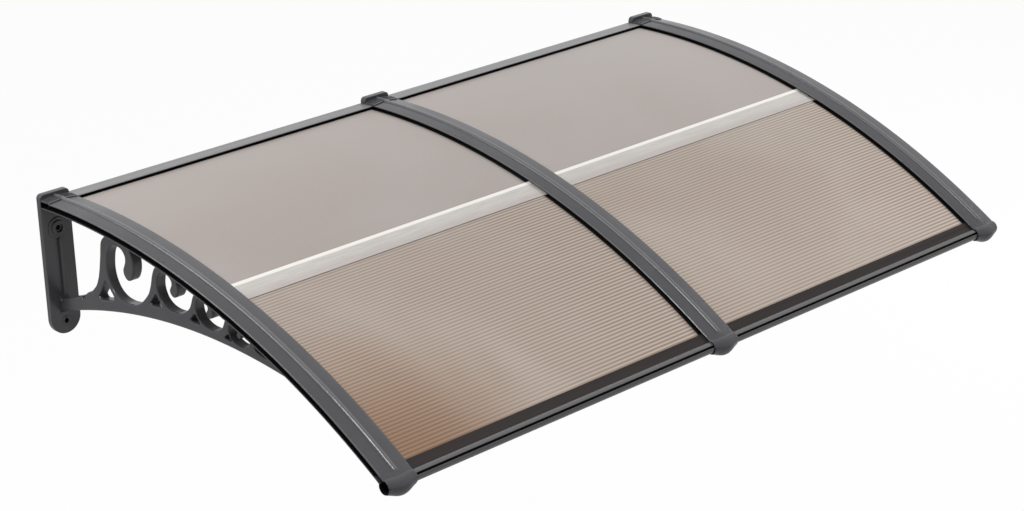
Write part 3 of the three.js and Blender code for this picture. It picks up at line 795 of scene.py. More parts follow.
class Look(Enum):
    """Every finish of the canopy."""

    PLASTIC = MouldedPlastic()
    # Matt plastic whose near-black colour is painted shade, for the bracket's slots, cups and fixing holes.
    RECESS = MouldedPlastic(
        "charcoal_plastic_matt", (0.004, 0.004, 0.004, 1), (0.007, 0.007, 0.007, 1), (0.85, 0.95), 0.05)
    # Glossier plastic for the bead and cap edges, its colour painted lighter as a highlight.
    POLISHED = MouldedPlastic(
        "charcoal_plastic_polished", (0.06, 0.06, 0.065, 1), (0.085, 0.085, 0.089, 1), (0.26, 0.3), 0.9, 0.000005)
    FRONT_BAR = CoatedBar("front_bar_coating", (0.08, 0.078, 0.08, 1), (0.1, 0.097, 0.1, 1))
    FRONT_BAND = CoatedBar(
        "front_band_coating", (0.02, 0.016, 0.015, 1), (0.028, 0.023, 0.022, 1), (0.5, 0.62), 0.16)
    # Near-black painted shade for the front bar's groove and mouth and the rear bar's mouth.
    BAR_RECESS = CoatedBar(
        "bar_groove_coating", (0.004, 0.004, 0.004, 1), (0.006, 0.006, 0.006, 1), (0.85, 0.95), 0.05)
    REAR_BAR = CoatedBar("rear_bar_coating", (0.138, 0.136, 0.139, 1), (0.166, 0.164, 0.167, 1))
    FRONT_SHEET = TwinWallFinish(
        "bronze_front_sheet", (0.378, 0.31, 0.262, 1), (0.415, 0.357, 0.313, 1), (0.235, 0.142, 0.085, 1), 0.8)
    REAR_SHEET = TwinWallFinish(
        "bronze_rear_sheet", (0.365, 0.314, 0.29, 1), (0.39, 0.348, 0.33, 1), (0.36, 0.31, 0.275, 1), 0.12, 2.3)
    JOINER = FrostedFinish()
    ZINC = ZincFinish()


Materials = dict[Look, bpy.types.Material]


# Geometry node trees
class GeometryTree(NodeMaker):
    """A geometry node tree that is filled in a few words."""

    def __init__(self, name: str, inputs: dict[str, str]) -> None:
        """Start a tree.

        Args:
            name: The tree's name.
            inputs: Each input's name and socket type, after the geometry itself.
        """
        super().__init__(bpy.data.node_groups.new(name, "GeometryNodeTree"))
        sockets = self.tree.interface
        sockets.new_socket("Geometry", in_out="INPUT", socket_type="NodeSocketGeometry")
        self.sockets = {
            key: sockets.new_socket(key, in_out="INPUT", socket_type=kind).identifier for key, kind in inputs.items()}
        sockets.new_socket("Geometry", in_out="OUTPUT", socket_type="NodeSocketGeometry")
        self.give = self.node("NodeGroupInput").outputs
        self.target = self.node("NodeGroupOutput")

    def close(self, geometry: bpy.types.NodeSocket) -> None:
        """End the tree in Realize Instances and Set Material."""
        real = self.node("GeometryNodeRealizeInstances", {"Geometry": geometry})
        dressed = self.node("GeometryNodeSetMaterial", {
            "Geometry": real.outputs[0], "Material": self.give["Material"]})
        self.link(dressed.outputs[0], self.target.inputs[0])

    def apply(self, obj: bpy.types.Object, **values: object) -> None:
        """Run the tree on an object and keep the plain mesh that it gives.

        Args:
            obj: The object, whose mesh is replaced.
            values: Each input's value, by its name with _ for a space.
        """
        modifier = obj.modifiers.new(self.tree.name, "NODES")
        modifier.node_group = self.tree
        for key, value in values.items():
            modifier[self.sockets[key.replace("_", " ")]] = value
        settle(obj)


def flute_wall_tree() -> GeometryTree:
    """Walls between two skins, one for each flute, set square to the roof's arc."""
    tree = GeometryTree("flute_walls", {
        "Count": "NodeSocketInt", "First Angle": "NodeSocketFloat", "Angle Step": "NodeSocketFloat",
        "Arc Radius": "NodeSocketFloat", "Arc Centre": "NodeSocketVector", "Wall Size": "NodeSocketVector",
        "Material": "NodeSocketMaterial"})
    index = tree.node("GeometryNodeInputIndex").outputs[0]
    angle = tree.math("MULTIPLY_ADD", index, tree.give["Angle Step"], tree.give["First Angle"])
    out = tree.math("MULTIPLY", tree.math("SINE", angle), tree.give["Arc Radius"])
    up = tree.math("MULTIPLY", tree.math("COSINE", angle), tree.give["Arc Radius"])
    spoke = tree.node("ShaderNodeCombineXYZ", {"Y": tree.math("MULTIPLY", out, -1.0), "Z": up}).outputs[0]
    spot = tree.vector("ADD", tree.give["Arc Centre"], spoke).outputs[0]
    points = tree.node("GeometryNodePoints", {"Count": tree.give["Count"], "Position": spot})
    wall = tree.node("GeometryNodeMeshCube", {"Size": tree.give["Wall Size"]})
    lean = tree.node("ShaderNodeCombineXYZ", {"X": angle}).outputs[0]
    walls = tree.node("GeometryNodeInstanceOnPoints", {
        "Points": points.outputs[0], "Instance": wall.outputs["Mesh"], "Rotation": lean})
    joined = tree.node("GeometryNodeJoinGeometry")
    for part in (walls.outputs[0], tree.give["Geometry"]):
        tree.link(part, joined.inputs[0])
    tree.close(joined.outputs[0])
    return tree


def screw_tree() -> GeometryTree:
    """One screw at each point of a mesh."""
    tree = GeometryTree("screws_at_seats", {"Screw": "NodeSocketObject", "Material": "NodeSocketMaterial"})
    screw = tree.node("GeometryNodeObjectInfo", {"Object": tree.give["Screw"]})
    screws = tree.node("GeometryNodeInstanceOnPoints", {
        "Points": tree.give["Geometry"], "Instance": screw.outputs["Geometry"]})
    tree.close(screws.outputs[0])
    return tree


# The canopy's pieces
@dataclass
class ScrollWeb:
    """The outline of the scroll web under an arm."""

    start_u: float = 6.0
    end_u: float = 770.0
    rib_end_u: float = 650.0
    rib_h: float = -26.0
    flange_h: float = -11.0
    crown_u: float = 480.0
    crown_z: float = 9.5
    member_radius: float = 1384.0
    scrolls: tuple[Corner, ...] = ((168, 305, 19.5), (316, 417, 24), (424, 503, 16), (513, 570, 10))
    first: Corner = (22, 159, 22)
    last: Corner = (580, 630, 13)
    steps: int = 7
    hook: tuple[Point, ...] = (
        (0.54, 1.0), (0.57, 0.94), (0.61, 0.81), (0.617, 0.7), (0.6, 0.575), (0.555, 0.46), (0.497, 0.405),
        (0.435, 0.43), (0.392, 0.5), (0.387, 0.58), (0.415, 0.655), (0.44, 0.735), (0.435, 0.83))
    back: tuple[Point, ...] = (
        (0.36, 0.915), (0.22, 0.915), (0.125, 0.85), (0.062, 0.745), (0.03, 0.6), (0.024, 0.46), (0.055, 0.315),
        (0.135, 0.17), (0.26, 0.065), (0.4, 0.012), (0.5, 0))
    rim: tuple[Point, ...] = (
        (0.6, 0.003), (0.735, 0.075), (0.884, 0.265), (0.952, 0.46), (1.0, 0.7), (1.045, 0.87), (1.08, 0.94),
        (1.133, 1.0))
    foot: tuple[Point, ...] = (
        (0.435, 0.033), (0.468, -0.005), (0.505, 0.03), (0.583, 0.082), (0.69, 0.112), (0.752, 0.15),
        (0.818, 0.21), (0.877, 0.325), (0.915, 0.457), (0.955, 0.65), (0.988, 0.847), (1.03, 0.93), (1.096, 1.0))
    eye: tuple[Point, ...] = (
        (-0.03, 0.32), (-0.135, 0.16), (-0.215, 0.06), (-0.165, 0.015), (0.13, 0.015), (0.12, 0.085), (0.06, 0.17))
    eye_easing: float = 3.5

    def member_bottom(self, u: float) -> float:
        """The lower edge of the curved member at u."""
        return self.crown_z - (u - self.crown_u) ** 2 / (2 * self.member_radius)

    def spot(self, scroll: Corner, across: float, up: float) -> Point:
        """A point at fractions across a scroll's span and up the web's height."""
        start, end, member = scroll
        u = start + (end - start) * across
        low = self.member_bottom(u) + member
        return u, low + (ARC.height(u, self.rib_h) - low) * up

    def trace(self, scroll: Corner, fractions: Sequence[Point]) -> list[Point]:
        """A smooth line through fractions of a scroll, from the nose's side to the wall's."""
        return smooth_through([self.spot(scroll, *f) for f in fractions], self.steps)[::-1]

    def outline(self) -> list[Point]:
        """The web's outer outline: along its lower edge, then back through every scroll."""
        stations = spaced(self.start_u, self.end_u, 12)
        points = [(u, min(self.member_bottom(u), ARC.height(u, -12))) for u in stations]
        tail = spaced(self.rib_end_u, self.end_u, 12)[::-1]
        points += [(u, ARC.height(u, self.flange_h)) for u in tail]
        points += self.trace(self.last, ((0.3, 1.0), *self.back[4:], *self.rim))
        for scroll in reversed(self.scrolls):
            points += self.trace(scroll, (*self.hook, *self.back, *self.rim))
        points += self.trace(self.first, self.foot)
        points.append(self.spot(self.first, (self.start_u - self.first[0]) / (self.first[1] - self.first[0]), 0))
        return points

    def eyes(self) -> list[list[Point]]:
        """The small three-cornered eyes between the scrolls."""
        return [eased([(*self.spot(s, *f), self.eye_easing) for f in self.eye]) for s in self.scrolls]


@dataclass
class Bracket:
    """One moulded bracket: wall plate, arm, scroll web and nose."""

    half_width: float = 30.0
    core: float = 2.5
    cap_edge_h: float = 2.4
    crown_h: float = 4.9
    bead_half: float = 5.0
    bead_top_h: float = 7.6
    slot_floor_h: float = -9.6
    flange_h: float = -12.0
    start_s: float = 6.0
    bead_end_s: float = 957.0
    end_s: float = 976.0
    nose_slot: Point = (921.0, 965.0)
    brow: tuple[Point, ...] = ((950, -1), (950, 2), (976, 2), (981, -5), (974, -12))
    head_end_s: float = 40.0
    head_raise: float = 1.8
    ridges: tuple[float, ...] = (20.0, 24.2, 28.4, 32.6)
    ridge_size: Point = (1.8, 0.8)
    head_slot: tuple[float, float, float] = (12.5, 37.0, 1.6)
    plate_half: float = 31.0
    plate_depth: float = 12.0
    plate_top: float = 157.0
    plate_bottom: float = -114.0
    plate_corner: float = 8.0
    pocket_depth: float = 7.0
    pocket_rim: float = 5.0
    spine_half: float = 9.0
    fixing_z: float = 89.5
    fixing_r: float = 4.5
    boss_r: float = 14.0
    boss_h: float = 5.0
    boss_recess_r: float = 8.2
    boss_ring_r: float = 20.0
    boss_ring_h: float = 2.0
    plate_rib: tuple[float, float, float] = (-47.5, 70.5, 5.0)
    collar_depth: float = 7.0
    lower_ring_r: float = 8.5
    web_half: float = 10.0
    web_easing: float = 2.2
    rib_half: float = 2.0
    nose: Point = (919.0, -104.0)
    nose_edge_r: float = 13.0
    nose_swell: float = 4.3
    nose_swell_tilt: float = math.radians(20)
    nose_rings: int = 24
    nose_sides: int = 72
    cup_r: float = 10.5
    screw_x: float = 17.0
    screw_hole_r: float = 2.05
    screw_seat_r: float = 4.3
    rear_screw_s: float = 17.0
    front_seat: float = 14.0
    gusset: float = 9.0
    margin: float = 0.3
    fine_margin: float = 0.2
    web: ScrollWeb = field(default_factory=ScrollWeb)

    def arm_section(self, raised: float = 0.0) -> list[Point]:
        """The arm's section: crowned cap, slots on both sides and lower flange."""
        wide, core, floor = self.half_width, self.core, self.slot_floor_h
        right = [
            (self.bead_half - 1.5, self.crown_h + raised, 0.0), (wide, self.cap_edge_h + raised, 1.5),
            (wide, 0, 0.3), (core, 0, 0.0), (core, floor, 0.5), (wide, floor, 0.3), (wide, self.flange_h, 0.7)]
        return eased([*right, *[(-x, h, ease) for x, h, ease in reversed(right)]])

    def bead_section(self, s: float) -> list[Point]:
        """The bead along the cap's middle, which runs out at its end."""
        spring = self.crown_h - 0.4
        rise = self.bead_top_h + (self.head_raise if s < self.head_end_s else 0) - spring
        rise *= min(1.0, (self.bead_end_s - s) / 4)
        crown = [(self.bead_half * a, spring + rise * b) for a, b in arc_points((0, 0), 1.0, 180, 0, 16)]
        return [(-self.bead_half, 1.5), *crown, (self.bead_half, 1.5)]

    def arm(self) -> bpy.types.Object:
        """The arm with its bead and raised head."""
        body = sweep("arm", lambda s: self.arm_section(), spaced(self.start_s, self.end_s))
        head = sweep("head", lambda s: self.arm_section(self.head_raise), spaced(self.start_s, self.head_end_s))
        end = self.bead_end_s
        bead = sweep("bead", self.bead_section, [*spaced(self.start_s, end - 4), end - 2, end])
        combine(body, [head, bead, *self.head_ridges()], "UNION")
        return body

    def head_ridges(self) -> list[bpy.types.Object]:
        """The small rounded ridges across the head, on both sides of the bead."""
        width, rise = self.ridge_size
        foot, top = self.head_raise - 1, self.head_raise + rise
        pieces = []
        for way in (-1, 1):
            near, far = way * (self.bead_half - 1), way * (self.half_width - 0.8)
            for start in self.ridges:
                for inset, height in ((0.0, top - 0.3), (0.3, top)):
                    ring = [(near, self.crown_h + foot), (far, self.cap_edge_h + foot),
                            (far, self.cap_edge_h + height), (near, self.crown_h + height)]
                    pieces.append(sweep("ridge", lambda s, r=ring: r, [start + inset, start + width - inset]))
        return pieces

    def barrel(self) -> bpy.types.Object:
        """The nose: a barrel along X whose belly swells downwards, under a straight brow."""
        rings, sides = self.nose_rings, self.nose_sides
        hoops = []
        for i in range(rings + 1):
            x = -1 + 2 * i / rings
            swell = self.nose_swell * max(math.cos(x * math.pi / 2), 0.0) ** 1.5
            u = self.nose[0] + swell * math.sin(self.nose_swell_tilt)
            z = self.nose[1] - swell * math.cos(self.nose_swell_tilt)
            radius = self.nose_edge_r + swell - (0.8 if i in (0, rings) else 0.0)
            ring = arc_points((u, z), radius, 0, 360 * (1 - 1 / sides), sides - 1)
            hoops.append([place(x * self.half_width, *p) for p in ring])
        body = loft("barrel", hoops)
        loop = eased([(*ARC.point(s, h), 0.8) for s, h in self.brow])
        combine(body, [flat_curve("brow", [loop], 2 * self.half_width, 0.5, side_basis(0))], "UNION")
        return body

    def side_cuts(self) -> list[bpy.types.Object]:
        """The slots through the head and nose, and the nose's cups, on both sides."""
        cuts = []
        slots = (("head_slot", self.head_slot[:2], self.head_slot[2]), ("nose_slot", self.nose_slot, 0))
        deep = self.half_width - self.core
        cup = [(0, 0), (self.cup_r, 0), (self.cup_r, deep - 0.8), (self.cup_r + 1.2, deep + self.core),
               (0, deep + self.core)]
        for way in (-1, 1):
            low, high = sorted((way * self.core, way * (self.half_width + 1)))
            for name, span, top in slots:
                cuts.append(sweep(name, lambda s, t=top: box(low, high, self.slot_floor_h, t), spaced(*span)))
            cuts.append(revolve("cup", cup, place(way * self.core, *self.nose), Vector((way, 0, 0))))
        return cuts

    def screw_cuts(self) -> list[bpy.types.Object]:
        """The holes for the screws that hold the bars, with a seat under each front one."""
        hole_r, seat_r = self.screw_hole_r, self.screw_seat_r
        hole = [(0, -3), (hole_r, -3), (hole_r, 6), (0, 6)]
        seat = [(0, -6), (seat_r, -6), (seat_r, 0), (hole_r, 0), (hole_r, 6), (0, 6)]
        cuts = []
        for x in (-self.screw_x, self.screw_x):
            rear = place(x, *ARC.point(self.rear_screw_s, self.flange_h))
            front = place(x, self.nose[0], self.nose[1] - self.front_seat)
            cuts.append(revolve("rear_hole", hole, rear, UPWARD, 32))
            cuts.append(revolve("front_seat", seat, front, UPWARD, 32))
        return cuts

    def plate_outline(self) -> list[Point]:
        """The wall plate's outline: round below, with two eased corners above."""
        half, top, corner = self.plate_half, self.plate_top, self.plate_corner
        return [
            *arc_points((0, self.plate_bottom + half), half, 180, 360, 32),
            *arc_points((half - corner, top - corner), corner, 0, 90, 6),
            *arc_points((corner - half, top - corner), corner, 90, 180, 6),
        ]

    def boss(self) -> bpy.types.Object:
        """The stepped boss round the upper fixing hole, with a recess for the screw's head."""
        hole, inner, rim, ring = self.fixing_r, self.boss_recess_r, self.boss_r, self.boss_ring_r
        top, low = self.boss_h, self.boss_ring_h
        profile = [(hole, -6), (hole, 1.0), (hole + 0.5, 1.5), (inner, 1.5), (inner, top - 0.4), (inner + 0.6, top),
                   (rim - 0.8, top), (rim, top - 0.8), (rim, low), (ring - 0.6, low), (ring, low - 0.6), (ring, -6)]
        return revolve("boss", profile, place(0, self.plate_depth, self.fixing_z), OUTWARD)

    def lower_ring(self) -> bpy.types.Object:
        """The low ring round the lower fixing hole, with an eased mouth."""
        hole, ring = self.fixing_r, self.lower_ring_r
        profile = [(hole, -6), (hole, 0.4), (hole + 1.2, 1.2), (ring - 0.6, 1.2), (ring, 0.6), (ring, -6)]
        return revolve("lower_ring", profile, place(0, self.plate_depth, -self.fixing_z), OUTWARD)

    def collar(self, radius: float, z: float) -> bpy.types.Object:
        """The stretch of the boss or ring at z that passes back through the plate."""
        hole, deep = self.fixing_r, self.collar_depth
        return revolve("collar", [(hole, 0), (radius, 0), (radius, deep), (hole, deep)], place(0, 0, z), OUTWARD)

    def plate(self) -> bpy.types.Object:
        """The wall plate with its boss, rib, holes and cored-out back."""
        depth, high_z = self.plate_depth, self.fixing_z
        holes = [arc_points((0, z), self.fixing_r, 360, 11.25, 31) for z in (-high_z, high_z)]
        body = flat_curve("plate", [self.plate_outline(), *holes], depth, 1.0, front_basis(depth / 2))
        low, high, rise = self.plate_rib
        rib = box(-self.rib_half, self.rib_half, low, high)
        combine(body, [flat_curve("plate_rib", [rib], rise + 4, 0.6, front_basis(depth + (rise - 4) / 2))], "UNION")
        for radius, z in ((self.boss_ring_r - 0.4, high_z), (self.lower_ring_r - 0.4, -high_z)):
            bore = [(0, -20), (radius, -20), (radius, 20), (0, 20)]
            combine(body, [revolve("bore", bore, place(0, depth, z), OUTWARD)], "DIFFERENCE")
        combine(body, [self.collar(self.boss_ring_r, high_z), self.boss(), self.collar(self.lower_ring_r, -high_z),
                       self.lower_ring()], "UNION")
        for way in (-1, 1):
            combine(body, [self.pocket(way)], "DIFFERENCE")
        return body

    def pocket(self, way: int) -> bpy.types.Object:
        """The pocket in the plate's back on one side of its spine."""
        edge, near = self.plate_half - self.pocket_rim, self.spine_half
        low, middle, high = 12 - self.fixing_z, self.fixing_z, self.plate_top - self.pocket_rim
        notch = self.boss_r + 1
        outline = [(near, low, 3), (edge, low, 3), (edge, high, 3), (near, high, 3), (near, middle + notch, 1),
                   (notch, middle + 6, 2), (notch, middle - 6, 2), (near, middle - notch, 1)]
        loop = eased([(way * x, z, ease) for x, z, ease in outline])
        return flat_curve("pocket", [loop], 2 * self.pocket_depth, 0.3, front_basis(0))

    def web_solid(self) -> bpy.types.Object:
        """The scroll web, with the thin rib that it hangs from."""
        loops = [self.web.outline(), *self.web.eyes()]
        body = flat_curve("web", loops, 2 * self.web_half, self.web_easing, side_basis(0))
        ring = box(-self.rib_half, self.rib_half, self.web.rib_h - 1, self.web.flange_h)
        rib = sweep("rib", lambda s: ring, spaced(self.start_s, self.web.rib_end_u))
        combine(body, [rib, *self.gussets()], "UNION")
        return body

    def gussets(self) -> list[bpy.types.Object]:
        """The fillets where the lower member springs from the plate."""
        depth, size = self.plate_depth, self.gusset
        low = self.web.member_bottom(depth)
        pieces = []
        for z, way in ((low, -1), (low + self.web.first[2], 1)):
            loop = [(depth - 2, z - 2 * way), (depth - 2, z + way * size)]
            loop += [(depth + size * t**2, z + way * size * (1 - t) ** 2 - 2 * way * t**2)
                     for t in (0.0, 0.25, 0.5, 0.75, 1.0)]
            pieces.append(flat_curve("gusset", [loop], 2 * self.web_half, 0.5, side_basis(0)))
        return pieces

    def build(self) -> bpy.types.Object:
        """Make the whole bracket as one solid in the middle plane."""
        body = self.arm()
        combine(body, [self.barrel(), self.plate(), self.web_solid()], "UNION")
        combine(body, [*self.side_cuts(), *self.screw_cuts()], "DIFFERENCE")
        return body

    def mark_faces(self, mesh: bpy.types.Mesh) -> None:
        """Tell the inner faces, painted near-black as shade, and the polished bead and cap edges, painted lighter as
        a highlight, from the rest.
        """
        near, fine = self.margin, self.fine_margin
        for face in mesh.polygons:
            spot = face.center / MM
            x, y, z = spot
            h = ARC.over(spot)
            away = math.hypot(y + self.nose[0], z - self.nose[1])
            slot = abs(x) < self.half_width - 0.4 and self.slot_floor_h - near < h < near and y < -self.start_s
            slot = slot and (away > 2 * self.nose_edge_r or abs(abs(x) - self.core) < near or abs(h) < fine)
            cup = away < self.cup_r + near
            hole = math.hypot(x, abs(z) - self.fixing_z) < self.fixing_r + fine and y > -self.plate_depth - 6
            bead = abs(x) < self.bead_half and h > self.crown_h + fine
            edge = abs(x) > self.half_width - 1.3 and 0.9 < h < self.cap_edge_h + 0.4
            # Slot, cup and fixing-hole faces take the near-black painted shade.
            if slot or cup or hole:
                face.material_index = 1
            # Bead and cap-edge faces take the glossier plastic with the painted highlight.
            elif (bead or edge) and y < -self.head_end_s and away > self.nose_edge_r + self.nose_swell + near:
                face.material_index = 2

    def dress(self, materials: Materials) -> None:
        """Make the three brackets and hand them over."""
        pattern = self.build()
        self.mark_faces(pattern.data)
        for side in Side:
            mesh = pattern.data.copy()
            mesh.transform(Matrix.Translation((side.x * MM, 0, 0)))
            piece = new_object(f"{side.value}_bracket_moulding", mesh)
            looks = (Look.PLASTIC, Look.RECESS, Look.POLISHED)
            hand_over(piece, [f"bracket_{side.value}"], [materials[look] for look in looks])
        discard(pattern)


@dataclass
class TwinWallSheet:
    """A twin-wall sheet bent to the roof's arc: two skins with a wall for each flute."""

    name: str
    start_s: float
    end_s: float
    look: Look
    top_h: float = -4.2
    thickness: float = 4.0
    skin: float = 0.6
    wall: float = 0.7
    pitch: float = 7.2

    def skins(self, name: str, span: Point) -> bpy.types.Object:
        """Both skins, with the distance in flutes kept in their UV map."""
        points: list[Vector] = []
        faces: list[list[int]] = []
        for low in (self.top_h - self.thickness, self.top_h - self.skin):
            ring, first = box(*span, low, low + self.skin), len(points)
            for s in spaced(self.start_s, self.end_s, self.pitch / 2):
                if len(points) > first:
                    faces += band(len(points) - 4, len(points), 4)
                points += [place(x, *ARC.point(s, h)) for x, h in ring]
            faces += [list(range(first, first + 4)), list(range(len(points) - 4, len(points)))]
        piece = from_faces(name, points, faces)
        mesh = piece.data
        layer = mesh.uv_layers.new(name="flutes")
        for loop in mesh.loops:
            spot = mesh.vertices[loop.vertex_index].co
            layer.data[loop.index].uv = (spot.x, (ARC.along(spot / MM) - self.start_s) / self.pitch)
        return piece

    def dress(self, materials: Materials, tree: GeometryTree) -> None:
        """Make the sheet of each bay and hand it over.

        Args:
            materials: The canopy's finishes.
            tree: The tree that adds the walls of the flutes.
        """
        middle_h = self.top_h - self.thickness / 2
        for bay in Bay:
            low, high = bay.span(END_GAP)
            piece = self.skins(f"{self.name}_{bay.word}_panel", (low, high))
            tree.apply(
                piece,
                Count=int((self.end_s - self.start_s) / self.pitch) + 1,
                First_Angle=ARC.angle(self.start_s + self.wall / 2),
                Angle_Step=self.pitch / ARC.radius,
                Arc_Radius=(ARC.radius + middle_h) * MM,
                Arc_Centre=place((low + high) / 2, *ARC.centre),
                Wall_Size=Vector((high - low, self.wall, self.thickness - self.skin)) * MM,
                Material=materials[self.look],
            )
            hand_over(piece, [f"{self.name}_{bay.word}"])


@dataclass
class Joiner:
    """The H-shaped joiner between the rear and front sheets."""

    edges: Point = (473.0, 523.0)
    web: Point = (497.0, 499.0)
    top_h: float = -2.5
    under_top_h: float = -3.9
    over_low_h: float = -8.5
    low_h: float = -9.3

    def outline(self) -> list[Point]:
        """The H section in (u, z), with lipped upper edges."""
        (s0, s1), (w0, w1) = self.edges, self.web
        corners = [
            (s0, self.low_h, 0.3), (s1, self.low_h, 0.3), (s1, self.over_low_h, 0.3), (w1, self.over_low_h, 0),
            (w1, self.under_top_h, 0), (s1, self.under_top_h, 0.3), (s1, self.top_h, 0.8),
            (s0, self.top_h, 0.8), (s0, self.under_top_h, 0.3), (w0, self.under_top_h, 0),
            (w0, self.over_low_h, 0), (s0, self.over_low_h, 0.3),
        ]
        return [ARC.point(s, h) for s, h in eased(corners)]

    def dress(self, materials: Materials) -> None:
        """Make the joiner of each bay and hand it over."""
        for bay in Bay:
            piece = extrude_x(f"{bay.word}_joiner_strip", self.outline(), bay.span(END_GAP))
            hand_over(piece, [f"joiner_{bay.word}"], [materials[Look.JOINER]])


@dataclass
class FrontBar:
    """The front bar: a flat band over the sheet, and a grooved round that sits in the noses."""

    centre: Point = (919.0, -104.0)
    radius: float = 10.0
    bore: float = 5.6
    band_s: float = 941.0
    band_h: float = -1.9
    mouth_s: float = 957.0
    mouth_top_h: float = -3.9
    mouth_low_h: float = -8.5
    lip_s: float = 945.0
    lip_h: float = -9.3
    groove_angle: float = 34.0
    groove_half: float = 12.0
    groove_r: float = 7.6
    groove_edge: float = 0.5

    def on_round(self, radius: float, degrees: float) -> Point:
        """The point at an angle on a circle round the bar's centre."""
        return arc_points(self.centre, radius, degrees, degrees, 1)[0]

    def meets(self, h: float) -> float:
        """The angle at which the round crosses the height h on the wall's side."""
        angles = [90 + step / 10 for step in range(1800)]
        return next((a for a in angles if ARC.over(place(0, *self.on_round(self.radius, a)) / MM) < h), 90.0)

    def outline(self) -> list[Point]:
        """The bar's section in (u, z)."""
        high, low = self.groove_angle + self.groove_half, self.groove_angle - self.groove_half
        edge_r = self.radius - self.groove_edge
        band_top = eased([(self.mouth_s, self.mouth_top_h, 0), (self.band_s, self.mouth_top_h, 0.3),
                          (self.band_s, self.band_h, 0.8), (self.mouth_s + 4, self.band_h, 0)])
        lip = eased([(self.lip_s + 10, self.lip_h, 0), (self.lip_s, self.lip_h, 0.3),
                     (self.lip_s, self.mouth_low_h, 0.3), (self.mouth_s, self.mouth_low_h, 0)])
        return [
            *[ARC.point(s, h) for s, h in band_top],
            *arc_points(self.centre, self.radius, self.meets(self.band_h), high + 2, 18),
            self.on_round(edge_r, high),
            *arc_points(self.centre, self.groove_r, high - 3, low + 3, 4),
            self.on_round(edge_r, low),
            *arc_points(self.centre, self.radius, low - 2, self.meets(self.lip_h) - 360, 48),
            *[ARC.point(s, h) for s, h in lip],
        ]

    def mark_faces(self, mesh: bpy.types.Mesh) -> None:
        """Tell the flat band on top of the sheet, and the groove and mouth that get painted shade, from the rest."""
        for face in mesh.polygons:
            middle = face.center / MM
            away = math.hypot(middle.y + self.centre[0], middle.z - self.centre[1])
            h = ARC.over(middle)
            mouth = self.mouth_low_h - 0.2 < h < self.mouth_top_h + 0.2 and away > self.radius
            # The groove and mouth take the near-black painted shade.
            if mouth or away < self.radius - 0.6:
                face.material_index = 2
            else:
                face.material_index = int(away > self.radius + 0.1 and h > self.band_h - 0.4)

    def dress(self, materials: Materials) -> None:
        """Make the front bar of each bay and hand it over."""
        bore = arc_points(self.centre, self.bore, 0, 345, 23)
        looks = (Look.FRONT_BAR, Look.FRONT_BAND, Look.BAR_RECESS)
        for bay in Bay:
            piece = extrude_x(f"{bay.word}_drip_bar", self.outline(), bay.span(END_GAP), bore)
            self.mark_faces(piece.data)
            hand_over(piece, [f"front_bar_{bay.word}"], [materials[look] for look in looks])


@dataclass
class RearBar:
    """The rear bar: a hood along the wall whose mouth takes the sheet's rear edge."""

    edge_s: float = 35.0
    top_h: float = 1.3
    under_top_h: float = -0.1
    back_u: Point = (0.5, 2.3)
    lip_s: float = 30.0
    lip_top_h: float = -8.5
    lip_h: float = -9.3
    notch: float = 27.3
    notch_u: float = 12.6

    def outline(self) -> list[Point]:
        """The bar's section in (u, z)."""
        back, inside = self.back_u
        hood = eased([(inside + 3, self.under_top_h, 0), (self.edge_s, self.under_top_h, 0.4),
                      (self.edge_s, self.top_h, 0.6), (self.edge_s - 6, self.top_h, 0)])
        lip = eased([(self.lip_s - 6, self.lip_h, 0), (self.lip_s, self.lip_h, 0.3),
                     (self.lip_s, self.lip_top_h, 0.3), (self.lip_s - 6, self.lip_top_h, 0)])
        return [
            (back, ARC.height(back, self.lip_h)),
            *[ARC.point(s, h) for s, h in lip],
            (inside, ARC.height(inside, self.lip_top_h)),
            (inside, ARC.height(inside, self.under_top_h)),
            *[ARC.point(s, h) for s, h in hood],
            (back, ARC.height(back, self.top_h)),
        ]

    def notches(self, span: Point) -> list[bpy.types.Object]:
        """The blocks that cut the bar's back clear of the wall plates."""
        block = box(-1, self.notch_u, ARC.start_z - 40, ARC.start_z + 40)
        ends = ((span[0] - 1, span[0] + self.notch), (span[1] - self.notch, span[1] + 1))
        return [extrude_x("notch", block, end) for end in ends]

    def mark_faces(self, mesh: bpy.types.Mesh) -> None:
        """Tell the mouth that takes the sheet, which gets painted shade, from the rest."""
        for face in mesh.polygons:
            middle = face.center / MM
            mouth = self.lip_top_h - 0.1 < ARC.over(middle) < self.under_top_h + 0.1
            # The mouth takes the near-black painted shade.
            face.material_index = int(mouth and middle.y < -self.back_u[0] - 0.5)

    def dress(self, materials: Materials) -> None:
        """Make the rear bar of each bay and hand it over."""
        for bay in Bay:
            span = bay.span(END_GAP)
            piece = extrude_x(f"{bay.word}_wall_bar", self.outline(), span)
            combine(piece, self.notches(span), "DIFFERENCE")
            self.mark_faces(piece.data)
            looks = [materials[Look.REAR_BAR], materials[Look.BAR_RECESS]]
            hand_over(piece, [f"rear_bar_{bay.word}"], looks)


